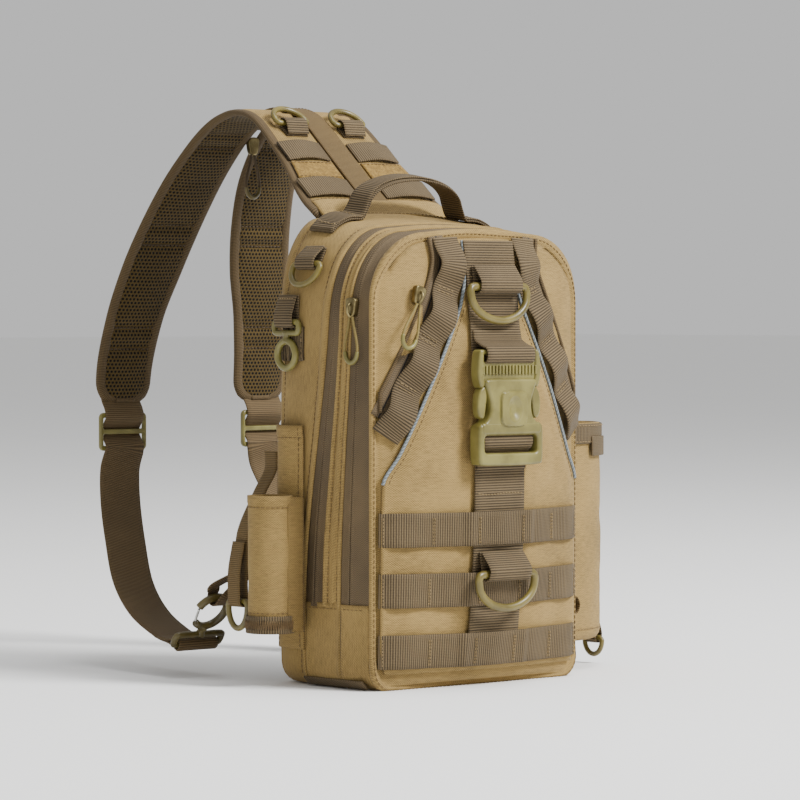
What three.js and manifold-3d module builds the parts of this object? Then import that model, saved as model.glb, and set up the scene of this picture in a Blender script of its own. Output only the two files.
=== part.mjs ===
import * as THREE from 'three';
import { mergeVertices } from 'three/addons/utils/BufferGeometryUtils.js';
import Module from 'manifold-3d';

const wasm = await Module();
wasm.setup();

// A single-shoulder fishing backpack, in millimetres. X runs to the right seen from the front,
// the front faces -Y, Z is up and the flat base stands on Z = 0.

// The gap that sewn layers keep from each other, and the thickness of each material.
const GAP = 0.4;
const WALL = 3;
const TAPE = 2.2;
const CLOTH = 2.2;
const WEBBING = 1.6;

// Bands of the bag from back to front, as depths along Y.
const BAND = { rearFront: 18.3, zipBack: 18, zipFront: -0.4, midBack: -0.7, midFront: -19.3 };
const FRONT = { zipBack: -19.6, zipFront: -46.7, rim: -47, edge: -49, bulge: 22, spread: 104 };
const ZIP_END = 61;
const TAPE_INSET = 0.8;
const DIVIDER = { back: -9, front: -11.5 };

// Sections of the bag at depth y: half width, top height, the size of the top corners and base.
const SECTIONS = [
  { y: -47, halfWidth: 102, top: 335, cornerX: 50, cornerZ: 50, base: 0 },
  { y: -20, halfWidth: 106, top: 339, cornerX: 50, cornerZ: 60 },
  { y: 18, halfWidth: 107, top: 345, cornerX: 48, cornerZ: 76 },
  { y: 40, halfWidth: 106, top: 349, cornerX: 46, cornerZ: 86 },
  { y: 53, halfWidth: 101, top: 349, cornerX: 44, cornerZ: 86, base: 0 },
  { y: 60, halfWidth: 93, top: 346, cornerX: 40, cornerZ: 82, base: 3 },
  { y: 63, halfWidth: 84, top: 341, cornerX: 36, cornerZ: 78, base: 8 },
];
const CROWN = 3;
const BOTTOM_CORNER = 25;
const SIDE_HEIGHTS = [61, 135, 205];

// Shape of the front wall: where it is fullest and how much it falls off to its two ends.
const FULLEST = { z: 160, toTop: 175, topLoss: 0.65, toBase: 160, baseLoss: 0.55 };
const FRONT_SCALES = { outer: [0.8, 0.58, 0.36, 0.16], inner: [0.55] };
const FRONT_CENTRE = 165;

// Layers on the front wall, as distances out from it to each layer's inner face.
const LAYER = { onShell: 0.4, cloth: 1.1, onCloth: 4, onWebbing: 6.4 };

// Half width of the front pocket panel at each height.
const POCKET_EDGE = [
  { z: 12, halfWidth: 94 },
  { z: 30, halfWidth: 98 },
  { z: 90, halfWidth: 98 },
  { z: 148, halfWidth: 97 },
  { z: 172, halfWidth: 84 },
  { z: 226, halfWidth: 57 },
  { z: 264, halfWidth: 38 },
  { z: 284, halfWidth: 29 },
  { z: 306, halfWidth: 24 },
  { z: 327, halfWidth: 24 },
];
const POCKET_COLUMNS = 10;

// Webbing on the front: rows across it, a ladder along each slash zip and a wide centre strip.
const ROW = { width: 25, halfLength: 99, steps: 24, tackPitch: 40, arch: 1.6 };
const ROW_HEIGHTS = [117, 73, 28.5];
const SLASH = { width: 24, pitch: 40, arch: 4.5, steps: 28 };
const SLASH_ROUTE = [
  { x: 39, z: 330 },
  { x: 38.5, z: 309 },
  { x: 46.5, z: 281 },
  { x: 72, z: 230 },
  { x: 95, z: 185 },
];
const CENTRE = { width: 50, top: 328, buckleTop: 238, buckleBase: 178, end: 17 };

// Big rings on the centre strip, small rings on the straps, and the tabs that hold them.
const BIG_RING = { inner: 50, depth: 25, wire: 3, shoulder: 6 };
const SMALL_RING = { inner: 25, depth: 17, wire: 2.3, shoulder: 4 };
const TINY_RING = { inner: 15, depth: 13, wire: 2, shoulder: 2 };
const HANGER_RING = { inner: 17, depth: 20, wire: 2.3, shoulder: 4 };
const TAB = { thick: 1.4, clear: 0.6 };
const UPPER_RING_Z = 294;
const LOWER_RING_Z = 83;

// The side-release buckle.
const BUCKLE = { width: 64, top: 252, split: 222, base: 161, thick: 12, back: 6.1, corner: 5 };
const PAD = { size: 34, rise: 2.5, corner: 8, z: 192 };
const COMB = { count: 11, width: 2.4, pitch: 4.6, base: 226, height: 9, rise: 1.2 };

// Carry handle, side ring and side hook.
const HANDLE = { anchor: 80, rise: 52, peak: 377, y: 28, width: 24, thick: 3, slope: 0.17 };
const SIDE_RING = { y: 22, x: 98.1, z: 308.9 };
const SIDE_HOOK = { y: 36, z: 268, width: 20 };
const SIDE_PANEL = { front: 18.5, back: 54, base: 27, top: 192, bulge: 5.6, columns: 8 };
const SLEEVE = { x: -131.7, y: 30, radius: 16.5, wall: 2, base: 40, top: 141, sides: 20 };
const HANGER = { y: 58.3, width: 14, ringZ: 62, x: -139, seat: -107.1 };

// Bottle pocket on the right side, a D in plan, open at the top.
const BOTTLE = { inner: 107.9, reach: 75, y: 15, half: 40, wall: 2 };
const BOTTLE_LEVELS = [
  { z: 22, inset: 5 },
  { z: 30, inset: 0.6 },
  { z: 100, inset: 0 },
  { z: 190, inset: 0.4 },
];
const BOTTLE_SIDES = 14;
const POCKET_BAND = { base: 174, top: 189.5 };

// The padded straps: centre line in side view, inner and outer edge of the right half.
const STRAP = { thick: 7, chamfer: 3 };
const STRAP_STATIONS = [
  { y: 56, z: 351.4, inner: 1, outer: 69 },
  { y: 70, z: 361, inner: 1, outer: 67 },
  { y: 104, z: 391, inner: 1, outer: 58 },
  { y: 132, z: 416, inner: 1, outer: 55 },
  { y: 147, z: 425.5, inner: 1, outer: 54 },
  { y: 162, z: 429, inner: 1, outer: 53 },
  { y: 178, z: 428, inner: 2, outer: 53 },
  { y: 195, z: 421, inner: 4, outer: 55 },
  { y: 214, z: 405, inner: 6, outer: 59 },
  { y: 235, z: 378, inner: 10, outer: 66 },
  { y: 252, z: 345, inner: 17, outer: 75 },
  { y: 265, z: 310, inner: 26, outer: 84 },
  { y: 275, z: 270, inner: 38, outer: 92 },
  { y: 282, z: 230, inner: 44, outer: 96 },
  { y: 284, z: 206, inner: 45, outer: 95 },
];
const SPINE = { width: 24, crest: 5 };
const LOOP = { inner: 14.5, width: 24, arch: 3, upperY: 107.5, lowerY: 75 };
const STRAP_RING = { x: 29, y: 130 };

// Webbing from the strap's end to its hook, on the right half, and the slider on it.
const WEB = { width: 38, thick: 1.6 };
const WEB_ROUTE = [
  { x: 77, y: 278.5, z: 150 },
  { x: 84, y: 269, z: 126 },
  { x: 93, y: 252, z: 98 },
  { x: 103, y: 229, z: 66 },
  { x: 110, y: 200, z: 44 },
  { x: 116, y: 163, z: 30 },
  { x: 118, y: 142, z: 25.5 },
];
const SLIDER = { width: 46, height: 30, thick: 3, bar: 4, y: 281, z: 181, x: 72.5 };

// Snap hooks: a frame for the webbing, a neck and a round hook.
const HOOK = { frame: 44, frameDepth: 9, frameWire: 2.6, neck: 8, neckWire: 3.6, round: 14, wire: 3 };
const STRAP_HOOK = { x: 118, y: 134, z: 25, lean: 36 };
const GATE = { from: 218, to: 166.5, wire: 1, tipInset: 1 };
const ANCHOR = { x: 77, y: 64.3, top: 126, bend: 104, width: 10, clear: 2.4 };

// Zip pulls: a loop of cord on each slider, drawn in the loop's own plane as across and down.
const CORD = { diameter: 2.6, sides: 8, steps: 16 };
const PULL_ROUTE = [
  { across: -1.7, down: 0 },
  { across: -2.1, down: 3 },
  { across: -3, down: 7 },
  { across: -4.2, down: 11 },
  { across: -5.6, down: 16 },
  { across: -6.6, down: 21 },
  { across: -6.6, down: 26 },
  { across: -4.8, down: 31 },
  { across: 0, down: 33.6 },
  { across: 4.8, down: 31 },
  { across: 6.6, down: 26 },
  { across: 6.6, down: 21 },
  { across: 5.6, down: 16 },
  { across: 4.2, down: 11 },
  { across: 3, down: 7 },
  { across: 2.1, down: 3 },
  { across: 1.7, down: 0 },
];
const ZIP_SLIDER = { width: 9, thick: 5, length: 13 };

const TAN = 0xa5875a;
const BROWN = 0x7d6950;
const DARK = 0x554632;
const OLIVE = 0x96874b;
const STEEL = 0xb8b8b4;
const FINISH = {
  cloth: { color: TAN, roughness: 0.9, metalness: 0 },
  webbing: { color: BROWN, roughness: 0.85, metalness: 0 },
  tape: { color: 0x6e5a3c, roughness: 0.85, metalness: 0 },
  mesh: { color: 0x69502d, roughness: 0.95, metalness: 0 },
  plastic: { color: OLIVE, roughness: 0.45, metalness: 0 },
  metal: { color: STEEL, roughness: 0.3, metalness: 1 },
  slider: { color: DARK, roughness: 0.4, metalness: 0.6 },
  cord: { color: OLIVE, roughness: 0.7, metalness: 0 },
};

const backpack = new THREE.Group();
const X_AXIS = new THREE.Vector3(1, 0, 0);
const Y_AXIS = new THREE.Vector3(0, 1, 0);
const Z_AXIS = new THREE.Vector3(0, 0, 1);

function at(x, y, z) {
  return new THREE.Vector3(x, y, z);
}

function addPart(name, geometry, finish) {
  const mesh = new THREE.Mesh(geometry, new THREE.MeshStandardMaterial(FINISH[finish]));
  mesh.name = name;
  backpack.add(mesh);
}

function interpolate(table, key, where, column) {
  const last = table.length - 1;
  if (where <= table[0][key]) return table[0][column];
  if (where >= table[last][key]) return table[last][column];
  const next = table.findIndex((row) => row[key] >= where);
  const low = table[next - 1];
  const high = table[next];
  return low[column] + ((where - low[key]) / (high[key] - low[key])) * (high[column] - low[column]);
}

function signedVolume(points, triangles) {
  let volume = 0;
  for (const [a, b, c] of triangles) {
    volume += points[a].dot(points[b].clone().cross(points[c])) / 6;
  }
  return volume;
}

function solid(points, triangles) {
  const outward = signedVolume(points, triangles) > 0;
  const index = triangles.flatMap(([a, b, c]) => (outward ? [a, b, c] : [a, c, b]));
  const geometry = new THREE.BufferGeometry();
  geometry.setAttribute('position', new THREE.Float32BufferAttribute(points.flatMap((p) => p.toArray()), 3));
  geometry.setIndex(index);
  geometry.computeVertexNormals();
  return geometry;
}

// A skin over rings of equal count, split alike on its two faces. Open ends are closed by strips
// between facing points.
function loft(rings, endless = false) {
  const count = rings[0].length;
  const spans = endless ? rings.length : rings.length - 1;
  const triangles = [];
  for (let i = 0; i < spans; i += 1) {
    const a = i * count;
    const b = ((i + 1) % rings.length) * count;
    for (let j = 0; j < count; j += 1) {
      const k = (j + 1) % count;
      if (j < count / 2) triangles.push([a + j, b + j, b + k], [a + j, b + k, a + k]);
      else triangles.push([a + j, b + j, a + k], [b + j, b + k, a + k]);
    }
  }
  if (!endless) {
    const end = (rings.length - 1) * count;
    for (let j = 0; j < count / 2 - 1; j += 1) {
      const far = count - 1 - j;
      triangles.push([j, j + 1, far - 1], [j, far - 1, far]);
      triangles.push([end + j, end + far - 1, end + j + 1], [end + j, end + far, end + far - 1]);
    }
  }
  return solid(rings.flat(), triangles);
}

function tangentAt(path, i, endless) {
  const n = path.length;
  const before = endless ? path[(i + n - 1) % n] : path[Math.max(i - 1, 0)];
  const after = endless ? path[(i + 1) % n] : path[Math.min(i + 1, n - 1)];
  return after.clone().sub(before).normalize();
}

// Flat webbing swept along a path. Its width lies along a direction, or in a surface whose
// normal at a point is given by a function.
function strip(path, width, thick, across) {
  const rings = path.map((p, i) => {
    const along = tangentAt(path, i, false);
    const wide = typeof across === 'function' ? across(p).cross(along) : across.clone();
    const side = wide.addScaledVector(along, -wide.dot(along)).normalize();
    const up = along.clone().cross(side);
    const edge = side.multiplyScalar(width / 2);
    const face = up.multiplyScalar(thick / 2);
    const corner = (s, u) => p.clone().addScaledVector(edge, s).addScaledVector(face, u);
    return [corner(-1, -1), corner(1, -1), corner(1, 1), corner(-1, 1)];
  });
  return loft(rings);
}

// A round wire along a flat path, closed on itself when endless.
function wire(path, radius, normal, endless = true, sides = 6) {
  const rings = path.map((p, i) => {
    const side = tangentAt(path, i, endless).cross(normal).normalize();
    const ring = [];
    for (let k = 0; k < sides; k += 1) {
      const angle = (2 * Math.PI * (k + 0.5)) / sides;
      ring.push(p.clone().addScaledVector(side, radius * Math.cos(angle))
        .addScaledVector(normal, radius * Math.sin(angle)));
    }
    return ring;
  });
  return loft(rings, endless);
}

function toManifold(geometry) {
  const bare = geometry.clone();
  bare.deleteAttribute('normal');
  bare.deleteAttribute('uv');
  const merged = mergeVertices(bare, 1e-3);
  return new wasm.Manifold(new wasm.Mesh({
    numProp: 3,
    vertProperties: new Float32Array(merged.attributes.position.array),
    triVerts: new Uint32Array(merged.index.array),
  }));
}

function fromManifold(body) {
  const mesh = body.getMesh();
  const geometry = new THREE.BufferGeometry();
  geometry.setAttribute('position', new THREE.Float32BufferAttribute(mesh.vertProperties, 3));
  geometry.setIndex(Array.from(mesh.triVerts));
  geometry.computeVertexNormals();
  return geometry;
}

function join(...geometries) {
  return fromManifold(geometries.map(toManifold).reduce((sum, next) => sum.add(next)));
}

function cut(geometry, ...tools) {
  const start = toManifold(geometry);
  return fromManifold(tools.map(toManifold).reduce((rest, tool) => rest.subtract(tool), start));
}

function keep(geometry, region) {
  return fromManifold(toManifold(geometry).intersect(toManifold(region)));
}

function block(low, high) {
  const size = high.clone().sub(low);
  const centre = low.clone().add(high).multiplyScalar(0.5);
  return new THREE.BoxGeometry(size.x, size.y, size.z).translate(centre.x, centre.y, centre.z);
}

// A flat plate from an outline, placed by the directions of its width, height and thickness.
function plate(shape, thick, origin, across, up, curveSegments = 3) {
  const out = across.clone().cross(up);
  const matrix = new THREE.Matrix4().makeBasis(across, up, out).setPosition(origin);
  return new THREE.ExtrudeGeometry(shape, { depth: thick, bevelEnabled: false, curveSegments })
    .applyMatrix4(matrix);
}

function roundedRectangle(width, height, corner, ShapeClass = THREE.Shape) {
  const x = width / 2;
  const y = height / 2;
  const shape = new ShapeClass();
  shape.moveTo(-x + corner, -y);
  shape.lineTo(x - corner, -y);
  shape.absarc(x - corner, -y + corner, corner, -Math.PI / 2, 0);
  shape.lineTo(x, y - corner);
  shape.absarc(x - corner, y - corner, corner, 0, Math.PI / 2);
  shape.lineTo(-x + corner, y);
  shape.absarc(-x + corner, y - corner, corner, Math.PI / 2, Math.PI);
  shape.lineTo(-x, -y + corner);
  shape.absarc(-x + corner, -y + corner, corner, Math.PI, 1.5 * Math.PI);
  return shape;
}

// The bag's section at depth y, pulled in by a wall thickness.
function sectionAt(y) {
  const value = (column) => interpolate(SECTIONS, 'y', y, column);
  const rear = SECTIONS.filter((row) => row.base !== undefined);
  return {
    halfWidth: value('halfWidth'),
    top: value('top'),
    cornerX: value('cornerX'),
    cornerZ: value('cornerZ'),
    base: interpolate(rear, 'y', y, 'base'),
  };
}

function outline(y, inset) {
  const s = sectionAt(y);
  const width = s.halfWidth - inset;
  const base = s.base + inset;
  const round = BOTTOM_CORNER - inset;
  const cornerX = s.cornerX - inset;
  const cornerZ = s.cornerZ - inset;
  const flat = width - cornerX;
  const shoulder = s.top - inset - CROWN;
  const half = [[0, base], [25, base], [52, base]];
  for (let i = 0; i <= 4; i += 1) {
    const angle = ((i / 4 - 1) * Math.PI) / 2;
    half.push([width - round + round * Math.cos(angle), base + round + round * Math.sin(angle)]);
  }
  SIDE_HEIGHTS.forEach((z) => half.push([width, z]));
  for (let i = 0; i <= 6; i += 1) {
    const angle = ((i / 6) * Math.PI) / 2;
    half.push([flat + cornerX * Math.cos(angle), shoulder - cornerZ + cornerZ * Math.sin(angle)]);
  }
  half.push([flat * 0.66, shoulder + CROWN * 0.56], [flat * 0.33, shoulder + CROWN * 0.89]);
  half.push([0, shoulder + CROWN]);
  const mirrored = half.slice(1, -1).reverse().map(([x, z]) => [-x, z]);
  return half.concat(mirrored);
}

function outlineRing(y, inset) {
  return outline(y, inset).map(([x, z]) => at(x, y, z));
}

// Height of the bag's top surface at a point in plan.
function topHeight(x, y) {
  const s = sectionAt(y);
  const flat = s.halfWidth - s.cornerX;
  const reach = Math.abs(x);
  if (reach <= flat) return s.top - CROWN * (reach / flat) ** 2;
  const part = (reach - flat) / s.cornerX;
  return s.top - CROWN - s.cornerZ + s.cornerZ * Math.sqrt(Math.max(0, 1 - part * part));
}

function band(depths, inset, wall) {
  const outer = depths.map((y) => outlineRing(y, inset));
  const inner = depths.map((y) => outlineRing(y, inset + wall)).reverse();
  return loft(outer.concat(inner), true);
}

// Front wall of the bag at a point of its outline, bulged most in the middle.
function frontY(x, z) {
  const above = z > FULLEST.z;
  const reach = above ? FULLEST.toTop : FULLEST.toBase;
  const loss = above ? FULLEST.topLoss : FULLEST.baseLoss;
  const fullness = 1 - loss * ((z - FULLEST.z) / reach) ** 2;
  return FRONT.edge - FRONT.bulge * fullness * (1 - (x / FRONT.spread) ** 2);
}

function onFront(x, z, out) {
  return at(x, frontY(x, z) - out, z);
}

// Direction straight out of the front wall.
function frontNormal({ x, z }) {
  const slopeX = (frontY(x + 1, z) - frontY(x - 1, z)) / 2;
  const slopeZ = (frontY(x, z + 1) - frontY(x, z - 1)) / 2;
  return at(slopeX, -1, slopeZ).normalize();
}

function belowZipEnd(z) {
  return block(at(-200, -200, -50), at(200, 200, z));
}

function makeBody() {
  const rearOuter = [63, 60, 53, 40, BAND.rearFront].map((y) => outlineRing(y, 0));
  const rearInner = [BAND.rearFront, 40, 60].map((y) => outlineRing(y, WALL));
  addPart('rear_shell', loft(rearOuter.concat(rearInner)), 'cloth');

  const zipCut = belowZipEnd(ZIP_END + GAP);
  const mainTape = band([BAND.zipFront, BAND.zipBack], TAPE_INSET, TAPE);
  addPart('main_zipper', cut(mainTape, zipCut), 'tape');
  const frontTape = band([FRONT.zipFront, FRONT.zipBack], TAPE_INSET, TAPE);
  addPart('front_zipper', cut(frontTape, zipCut), 'tape');

  const gusset = band([BAND.midFront, BAND.midBack], 0, WALL);
  const trough = keep(band([FRONT.zipFront, -20, BAND.zipBack], 0, WALL), belowZipEnd(ZIP_END));
  const divider = loft([outlineRing(DIVIDER.front, WALL / 2), outlineRing(DIVIDER.back, WALL / 2)]);
  addPart('mid_shell', join(gusset, trough, divider), 'cloth');
  makeFrontWall();
}

function makeFrontWall() {
  const wallRing = (inset, back) => outline(FRONT.rim, inset).map(([x, z]) => at(x, frontY(x, z) + back, z));
  const scaled = (ring, scale, back) => ring.map((p) => {
    const x = p.x * scale;
    const z = FRONT_CENTRE + (p.z - FRONT_CENTRE) * scale;
    return at(x, frontY(x, z) + back, z);
  });
  const outerEdge = wallRing(4, 0);
  const innerEdge = wallRing(WALL + 3, WALL);
  const outer = FRONT_SCALES.outer.map((scale) => scaled(outerEdge, scale, 0)).reverse();
  const inner = FRONT_SCALES.inner.map((scale) => scaled(innerEdge, scale, WALL));
  const rings = [
    ...outer,
    outerEdge,
    wallRing(0.7, 1.2),
    outlineRing(FRONT.rim, 0),
    outlineRing(FRONT.rim, WALL),
    innerEdge,
    ...inner,
  ];
  addPart('front_shell', loft(rings), 'cloth');
}

// The pocket panel follows the front wall, full width below and narrow between the slash zips.
function makeFrontPocket() {
  const rings = POCKET_EDGE.map(({ z, halfWidth }) => {
    const face = [];
    for (let i = 0; i <= POCKET_COLUMNS; i += 1) {
      face.push(halfWidth * ((2 * i) / POCKET_COLUMNS - 1));
    }
    const inner = face.map((x) => onFront(x, z, LAYER.cloth));
    const outer = face.map((x) => onFront(x, z, LAYER.cloth + CLOTH)).reverse();
    return inner.concat(outer);
  });
  addPart('front_pocket', loft(rings), 'cloth');
}

// Rows lie over the centre strip in the middle and arch a little between their tacks.
function makeRows() {
  ROW_HEIGHTS.forEach((z, row) => {
    const path = [];
    for (let i = 0; i <= ROW.steps; i += 1) {
      const x = ROW.halfLength * ((2 * i) / ROW.steps - 1);
      const overCentre = THREE.MathUtils.smoothstep(CENTRE.width / 2 + 12 - Math.abs(x), 0, 9);
      const level = THREE.MathUtils.lerp(LAYER.onCloth, LAYER.onWebbing, overCentre);
      const arch = ROW.arch * Math.cos((Math.PI * x) / ROW.tackPitch) ** 2;
      const flatten = (frontY(x, z) - frontY(0, z)) * overCentre;
      path.push(onFront(x, z, level + arch + flatten + WEBBING / 2));
    }
    addPart(`molle_row_${row + 1}`, strip(path, ROW.width, WEBBING, frontNormal), 'webbing');
  });
}

function makeSlashWebbing(side, name) {
  const route = new THREE.CatmullRomCurve3(SLASH_ROUTE.map(({ x, z }) => at(side * x, 0, z)));
  const length = route.getLength();
  const path = [];
  for (let i = 0; i <= SLASH.steps; i += 1) {
    const p = route.getPointAt(i / SLASH.steps);
    const run = (length * i) / SLASH.steps;
    const arch = SLASH.arch * Math.sin((Math.PI * run) / SLASH.pitch) ** 2;
    path.push(onFront(p.x, p.z, LAYER.onShell + arch + WEBBING / 2));
  }
  addPart(name, strip(path, SLASH.width, WEBBING, frontNormal), 'webbing');
}

function makeCentreStrip(name, top, base) {
  const path = [];
  const steps = Math.ceil((top - base) / 16);
  for (let i = 0; i <= steps; i += 1) {
    const z = THREE.MathUtils.lerp(top, base, i / steps);
    path.push(onFront(0, z, LAYER.onCloth + WEBBING / 2));
  }
  addPart(name, strip(path, CENTRE.width, WEBBING, X_AXIS), 'webbing');
}

// A D ring: a straight bar, short sides and a round bow that hangs from it.
function dRing(size, bar, across, hang) {
  const half = size.inner / 2 + size.wire;
  const spots = [[-half + size.wire, 0], [0, 0], [half - size.wire, 0], [half, size.wire]];
  for (let i = 0; i <= 8; i += 1) {
    const angle = (Math.PI * i) / 8;
    spots.push([half * Math.cos(angle), size.shoulder + (size.depth - size.shoulder) * Math.sin(angle)]);
  }
  spots.push([-half, size.wire]);
  const path = spots.map(([u, w]) => bar.clone().addScaledVector(across, u).addScaledVector(hang, w));
  return wire(path, size.wire, across.clone().cross(hang).normalize());
}

// A webbing tab folded round a bar. It is sewn down at the end that lies along sew.
function ringTab(tab) {
  const round = tab.wire + (tab.clear ?? TAB.clear) + TAB.thick / 2;
  const sink = tab.sink ?? 0;
  const spots = [[tab.reach, -round - sink], [tab.reach * 0.55, -round - sink * 0.6]];
  for (let i = 0; i <= 6; i += 1) {
    const angle = (Math.PI * i) / 6;
    spots.push([-round * Math.sin(angle), -round * Math.cos(angle)]);
  }
  spots.push([tab.reach * 0.3, round * 0.95], [tab.reach, -round - sink + TAB.thick + 0.6]);
  const path = spots.map(([s, o]) => tab.bar.clone().addScaledVector(tab.sew, s).addScaledVector(tab.out, o));
  return strip(path, tab.width, TAB.thick, tab.across);
}

function makeFrontRings() {
  const round = BIG_RING.wire + TAB.clear + TAB.thick;
  const stripFace = LAYER.onCloth + WEBBING + GAP;
  const rowFace = LAYER.onWebbing + ROW.arch + WEBBING + GAP;
  const rings = [
    { name: 'upper', z: UPPER_RING_Z, level: stripFace + 0.6, sink: 0 },
    { name: 'lower', z: LOWER_RING_Z, level: rowFace + 0.4, sink: rowFace - stripFace },
  ];
  rings.forEach(({ name, z, level, sink }) => {
    const bar = onFront(0, z, level + round);
    const out = frontNormal(bar);
    const sew = X_AXIS.clone().cross(out).negate();
    const tab = { bar, sew, out, across: X_AXIS, width: 42, reach: 16, wire: BIG_RING.wire, sink };
    addPart(`${name}_ring_tab`, ringTab(tab), 'webbing');
    const hang = sew.clone().negate();
    hang.y = Math.min(hang.y, 0);
    addPart(`${name}_d_ring`, dRing(BIG_RING, bar, X_AXIS, hang.normalize()), 'plastic');
  });
}

// The buckle lies over the centre strip: a combed male half above, the pushed-in half below.
function makeBuckle() {
  const face = frontY(0, FULLEST.z) - BUCKLE.back;
  const across = X_AXIS;
  const rightWay = (shape, thick, z) => plate(shape, thick, at(0, face, z), across, Z_AXIS);
  const maleHeight = BUCKLE.top - BUCKLE.split - GAP;
  const maleZ = BUCKLE.top - maleHeight / 2;
  const male = roundedRectangle(BUCKLE.width - 6, maleHeight, BUCKLE.corner);
  const slot = roundedRectangle(CENTRE.width + 2, 4, 1.5, THREE.Path);
  const slotAt = (shape, offset) => {
    const moved = slot.getPoints(4).map((p) => new THREE.Vector2(p.x, p.y + offset));
    shape.holes.push(new THREE.Path(moved));
  };
  slotAt(male, maleHeight / 2 - 7);
  const maleSolids = [rightWay(male, BUCKLE.thick - 3, maleZ)];
  const combFace = face - BUCKLE.thick + 3 - COMB.rise;
  for (let i = 0; i < COMB.count; i += 1) {
    const x = (i - (COMB.count - 1) / 2) * COMB.pitch;
    const low = at(x - COMB.width / 2, combFace, COMB.base);
    maleSolids.push(block(low, at(x + COMB.width / 2, face - 1, COMB.base + COMB.height)));
  }
  addPart('buckle_male', join(...maleSolids), 'plastic');

  const femaleHeight = BUCKLE.split - BUCKLE.base;
  const femaleZ = BUCKLE.base + femaleHeight / 2;
  const female = roundedRectangle(BUCKLE.width, femaleHeight, BUCKLE.corner + 2);
  slotAt(female, -femaleHeight / 2 + 7);
  const pad = roundedRectangle(PAD.size, PAD.size, PAD.corner);
  const shell = rightWay(female, BUCKLE.thick, femaleZ);
  const raised = rightWay(pad, BUCKLE.thick + PAD.rise, PAD.z);
  const windows = [-1, 1].map((side) => {
    const x = side * (BUCKLE.width / 2 + 1);
    return block(at(x - 6, face - BUCKLE.thick - 1, femaleZ - 4), at(x + 6, face + 1, femaleZ + 18));
  });
  addPart('buckle_female', cut(join(shell, raised), ...windows), 'plastic');
}

// The handle is sewn flat at both ends and stands up in an arch between them.
function makeHandle() {
  const lift = GAP + 0.9 + HANDLE.thick / 2;
  const slope = at(0, 1, HANDLE.slope).normalize();
  const ends = [HANDLE.anchor, (HANDLE.anchor + HANDLE.rise) / 2, HANDLE.rise];
  const left = ends.map((x) => at(-x, HANDLE.y, topHeight(x, HANDLE.y) + lift));
  const right = ends.map((x) => at(x, HANDLE.y, topHeight(x, HANDLE.y) + lift)).reverse();
  const foot = topHeight(HANDLE.rise, HANDLE.y) + lift;
  const arch = [];
  for (let i = 1; i < 14; i += 1) {
    const angle = (Math.PI * i) / 14;
    const x = -(HANDLE.rise - 4) * Math.cos(angle);
    arch.push(at(x, HANDLE.y - 4 * Math.sin(angle), foot + (HANDLE.peak - foot) * Math.sin(angle) ** 0.7));
  }
  addPart('handle', strip([...left, ...arch, ...right], HANDLE.width, HANDLE.thick, slope), 'webbing');
}

// The side ring lies on the rounded left shoulder, its tab sewn up towards the handle.
function makeSideRing() {
  const { x, y, z } = SIDE_RING;
  const slope = at(-0.42, 0, -0.908);
  const out = at(-0.908, 0, 0.42);
  const bar = at(-x, y, z).addScaledVector(out, SMALL_RING.wire + TAB.clear + TAB.thick + GAP);
  const sew = slope.clone().negate();
  const tab = { bar, sew, out, across: Y_AXIS, width: 21, reach: 15, wire: SMALL_RING.wire };
  addPart('side_ring_tab', ringTab(tab), 'webbing');
  addPart('side_d_ring', dRing(SMALL_RING, bar, Y_AXIS, slope), 'plastic');
}

// A snap hook in its own plane: webbing frame at the bar, neck, then a round hook.
function snapHook(size, bar, across, axis, sweep) {
  const normal = across.clone().cross(axis).normalize();
  const spot = (u, w) => bar.clone().addScaledVector(across, u).addScaledVector(axis, w);
  const half = size.frame / 2;
  const r = size.frameWire;
  const frame = [
    [-half + r, 0], [half - r, 0], [half, r], [half, size.frameDepth - r],
    [half - r, size.frameDepth], [-half + r, size.frameDepth], [-half, size.frameDepth - r], [-half, r],
  ].map(([u, w]) => spot(u, w));
  const base = size.frameDepth;
  const neck = [spot(0, base - 0.5), spot(0, base + size.neck + 0.5)];
  const centre = base + size.neck + size.round;
  const steps = 15;
  const closed = sweep.to - sweep.from >= 360;
  const round = [];
  for (let i = 0; i < steps + (closed ? 0 : 1); i += 1) {
    const angle = THREE.MathUtils.degToRad(THREE.MathUtils.lerp(sweep.from, sweep.to, i / steps));
    round.push(spot(size.round * Math.cos(angle), centre + size.round * Math.sin(angle)));
  }
  const frameWire = wire(frame, r, normal);
  const neckWire = wire(neck, size.neckWire, normal, false);
  return join(frameWire, neckWire, wire(round, size.wire, normal, closed));
}

function makeSideHook() {
  const { y, z, width } = SIDE_HOOK;
  const down = Z_AXIS.clone().negate();
  const out = X_AXIS.clone().negate();
  const size = { frame: 27, frameDepth: 8, frameWire: 2.2, neck: 6, neckWire: 3, round: 10, wire: 2.6 };
  const x = sectionAt(y).halfWidth + GAP + TAB.thick + TAB.clear + size.frameWire;
  const bar = at(-x, y, z);
  const tab = { bar, sew: Z_AXIS, out, across: Y_AXIS, width, reach: 20, wire: size.frameWire };
  addPart('hook_loop', ringTab(tab), 'webbing');
  addPart('side_hook', snapHook(size, bar, Y_AXIS, down, { from: -90, to: 270 }), 'plastic');
}

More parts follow.
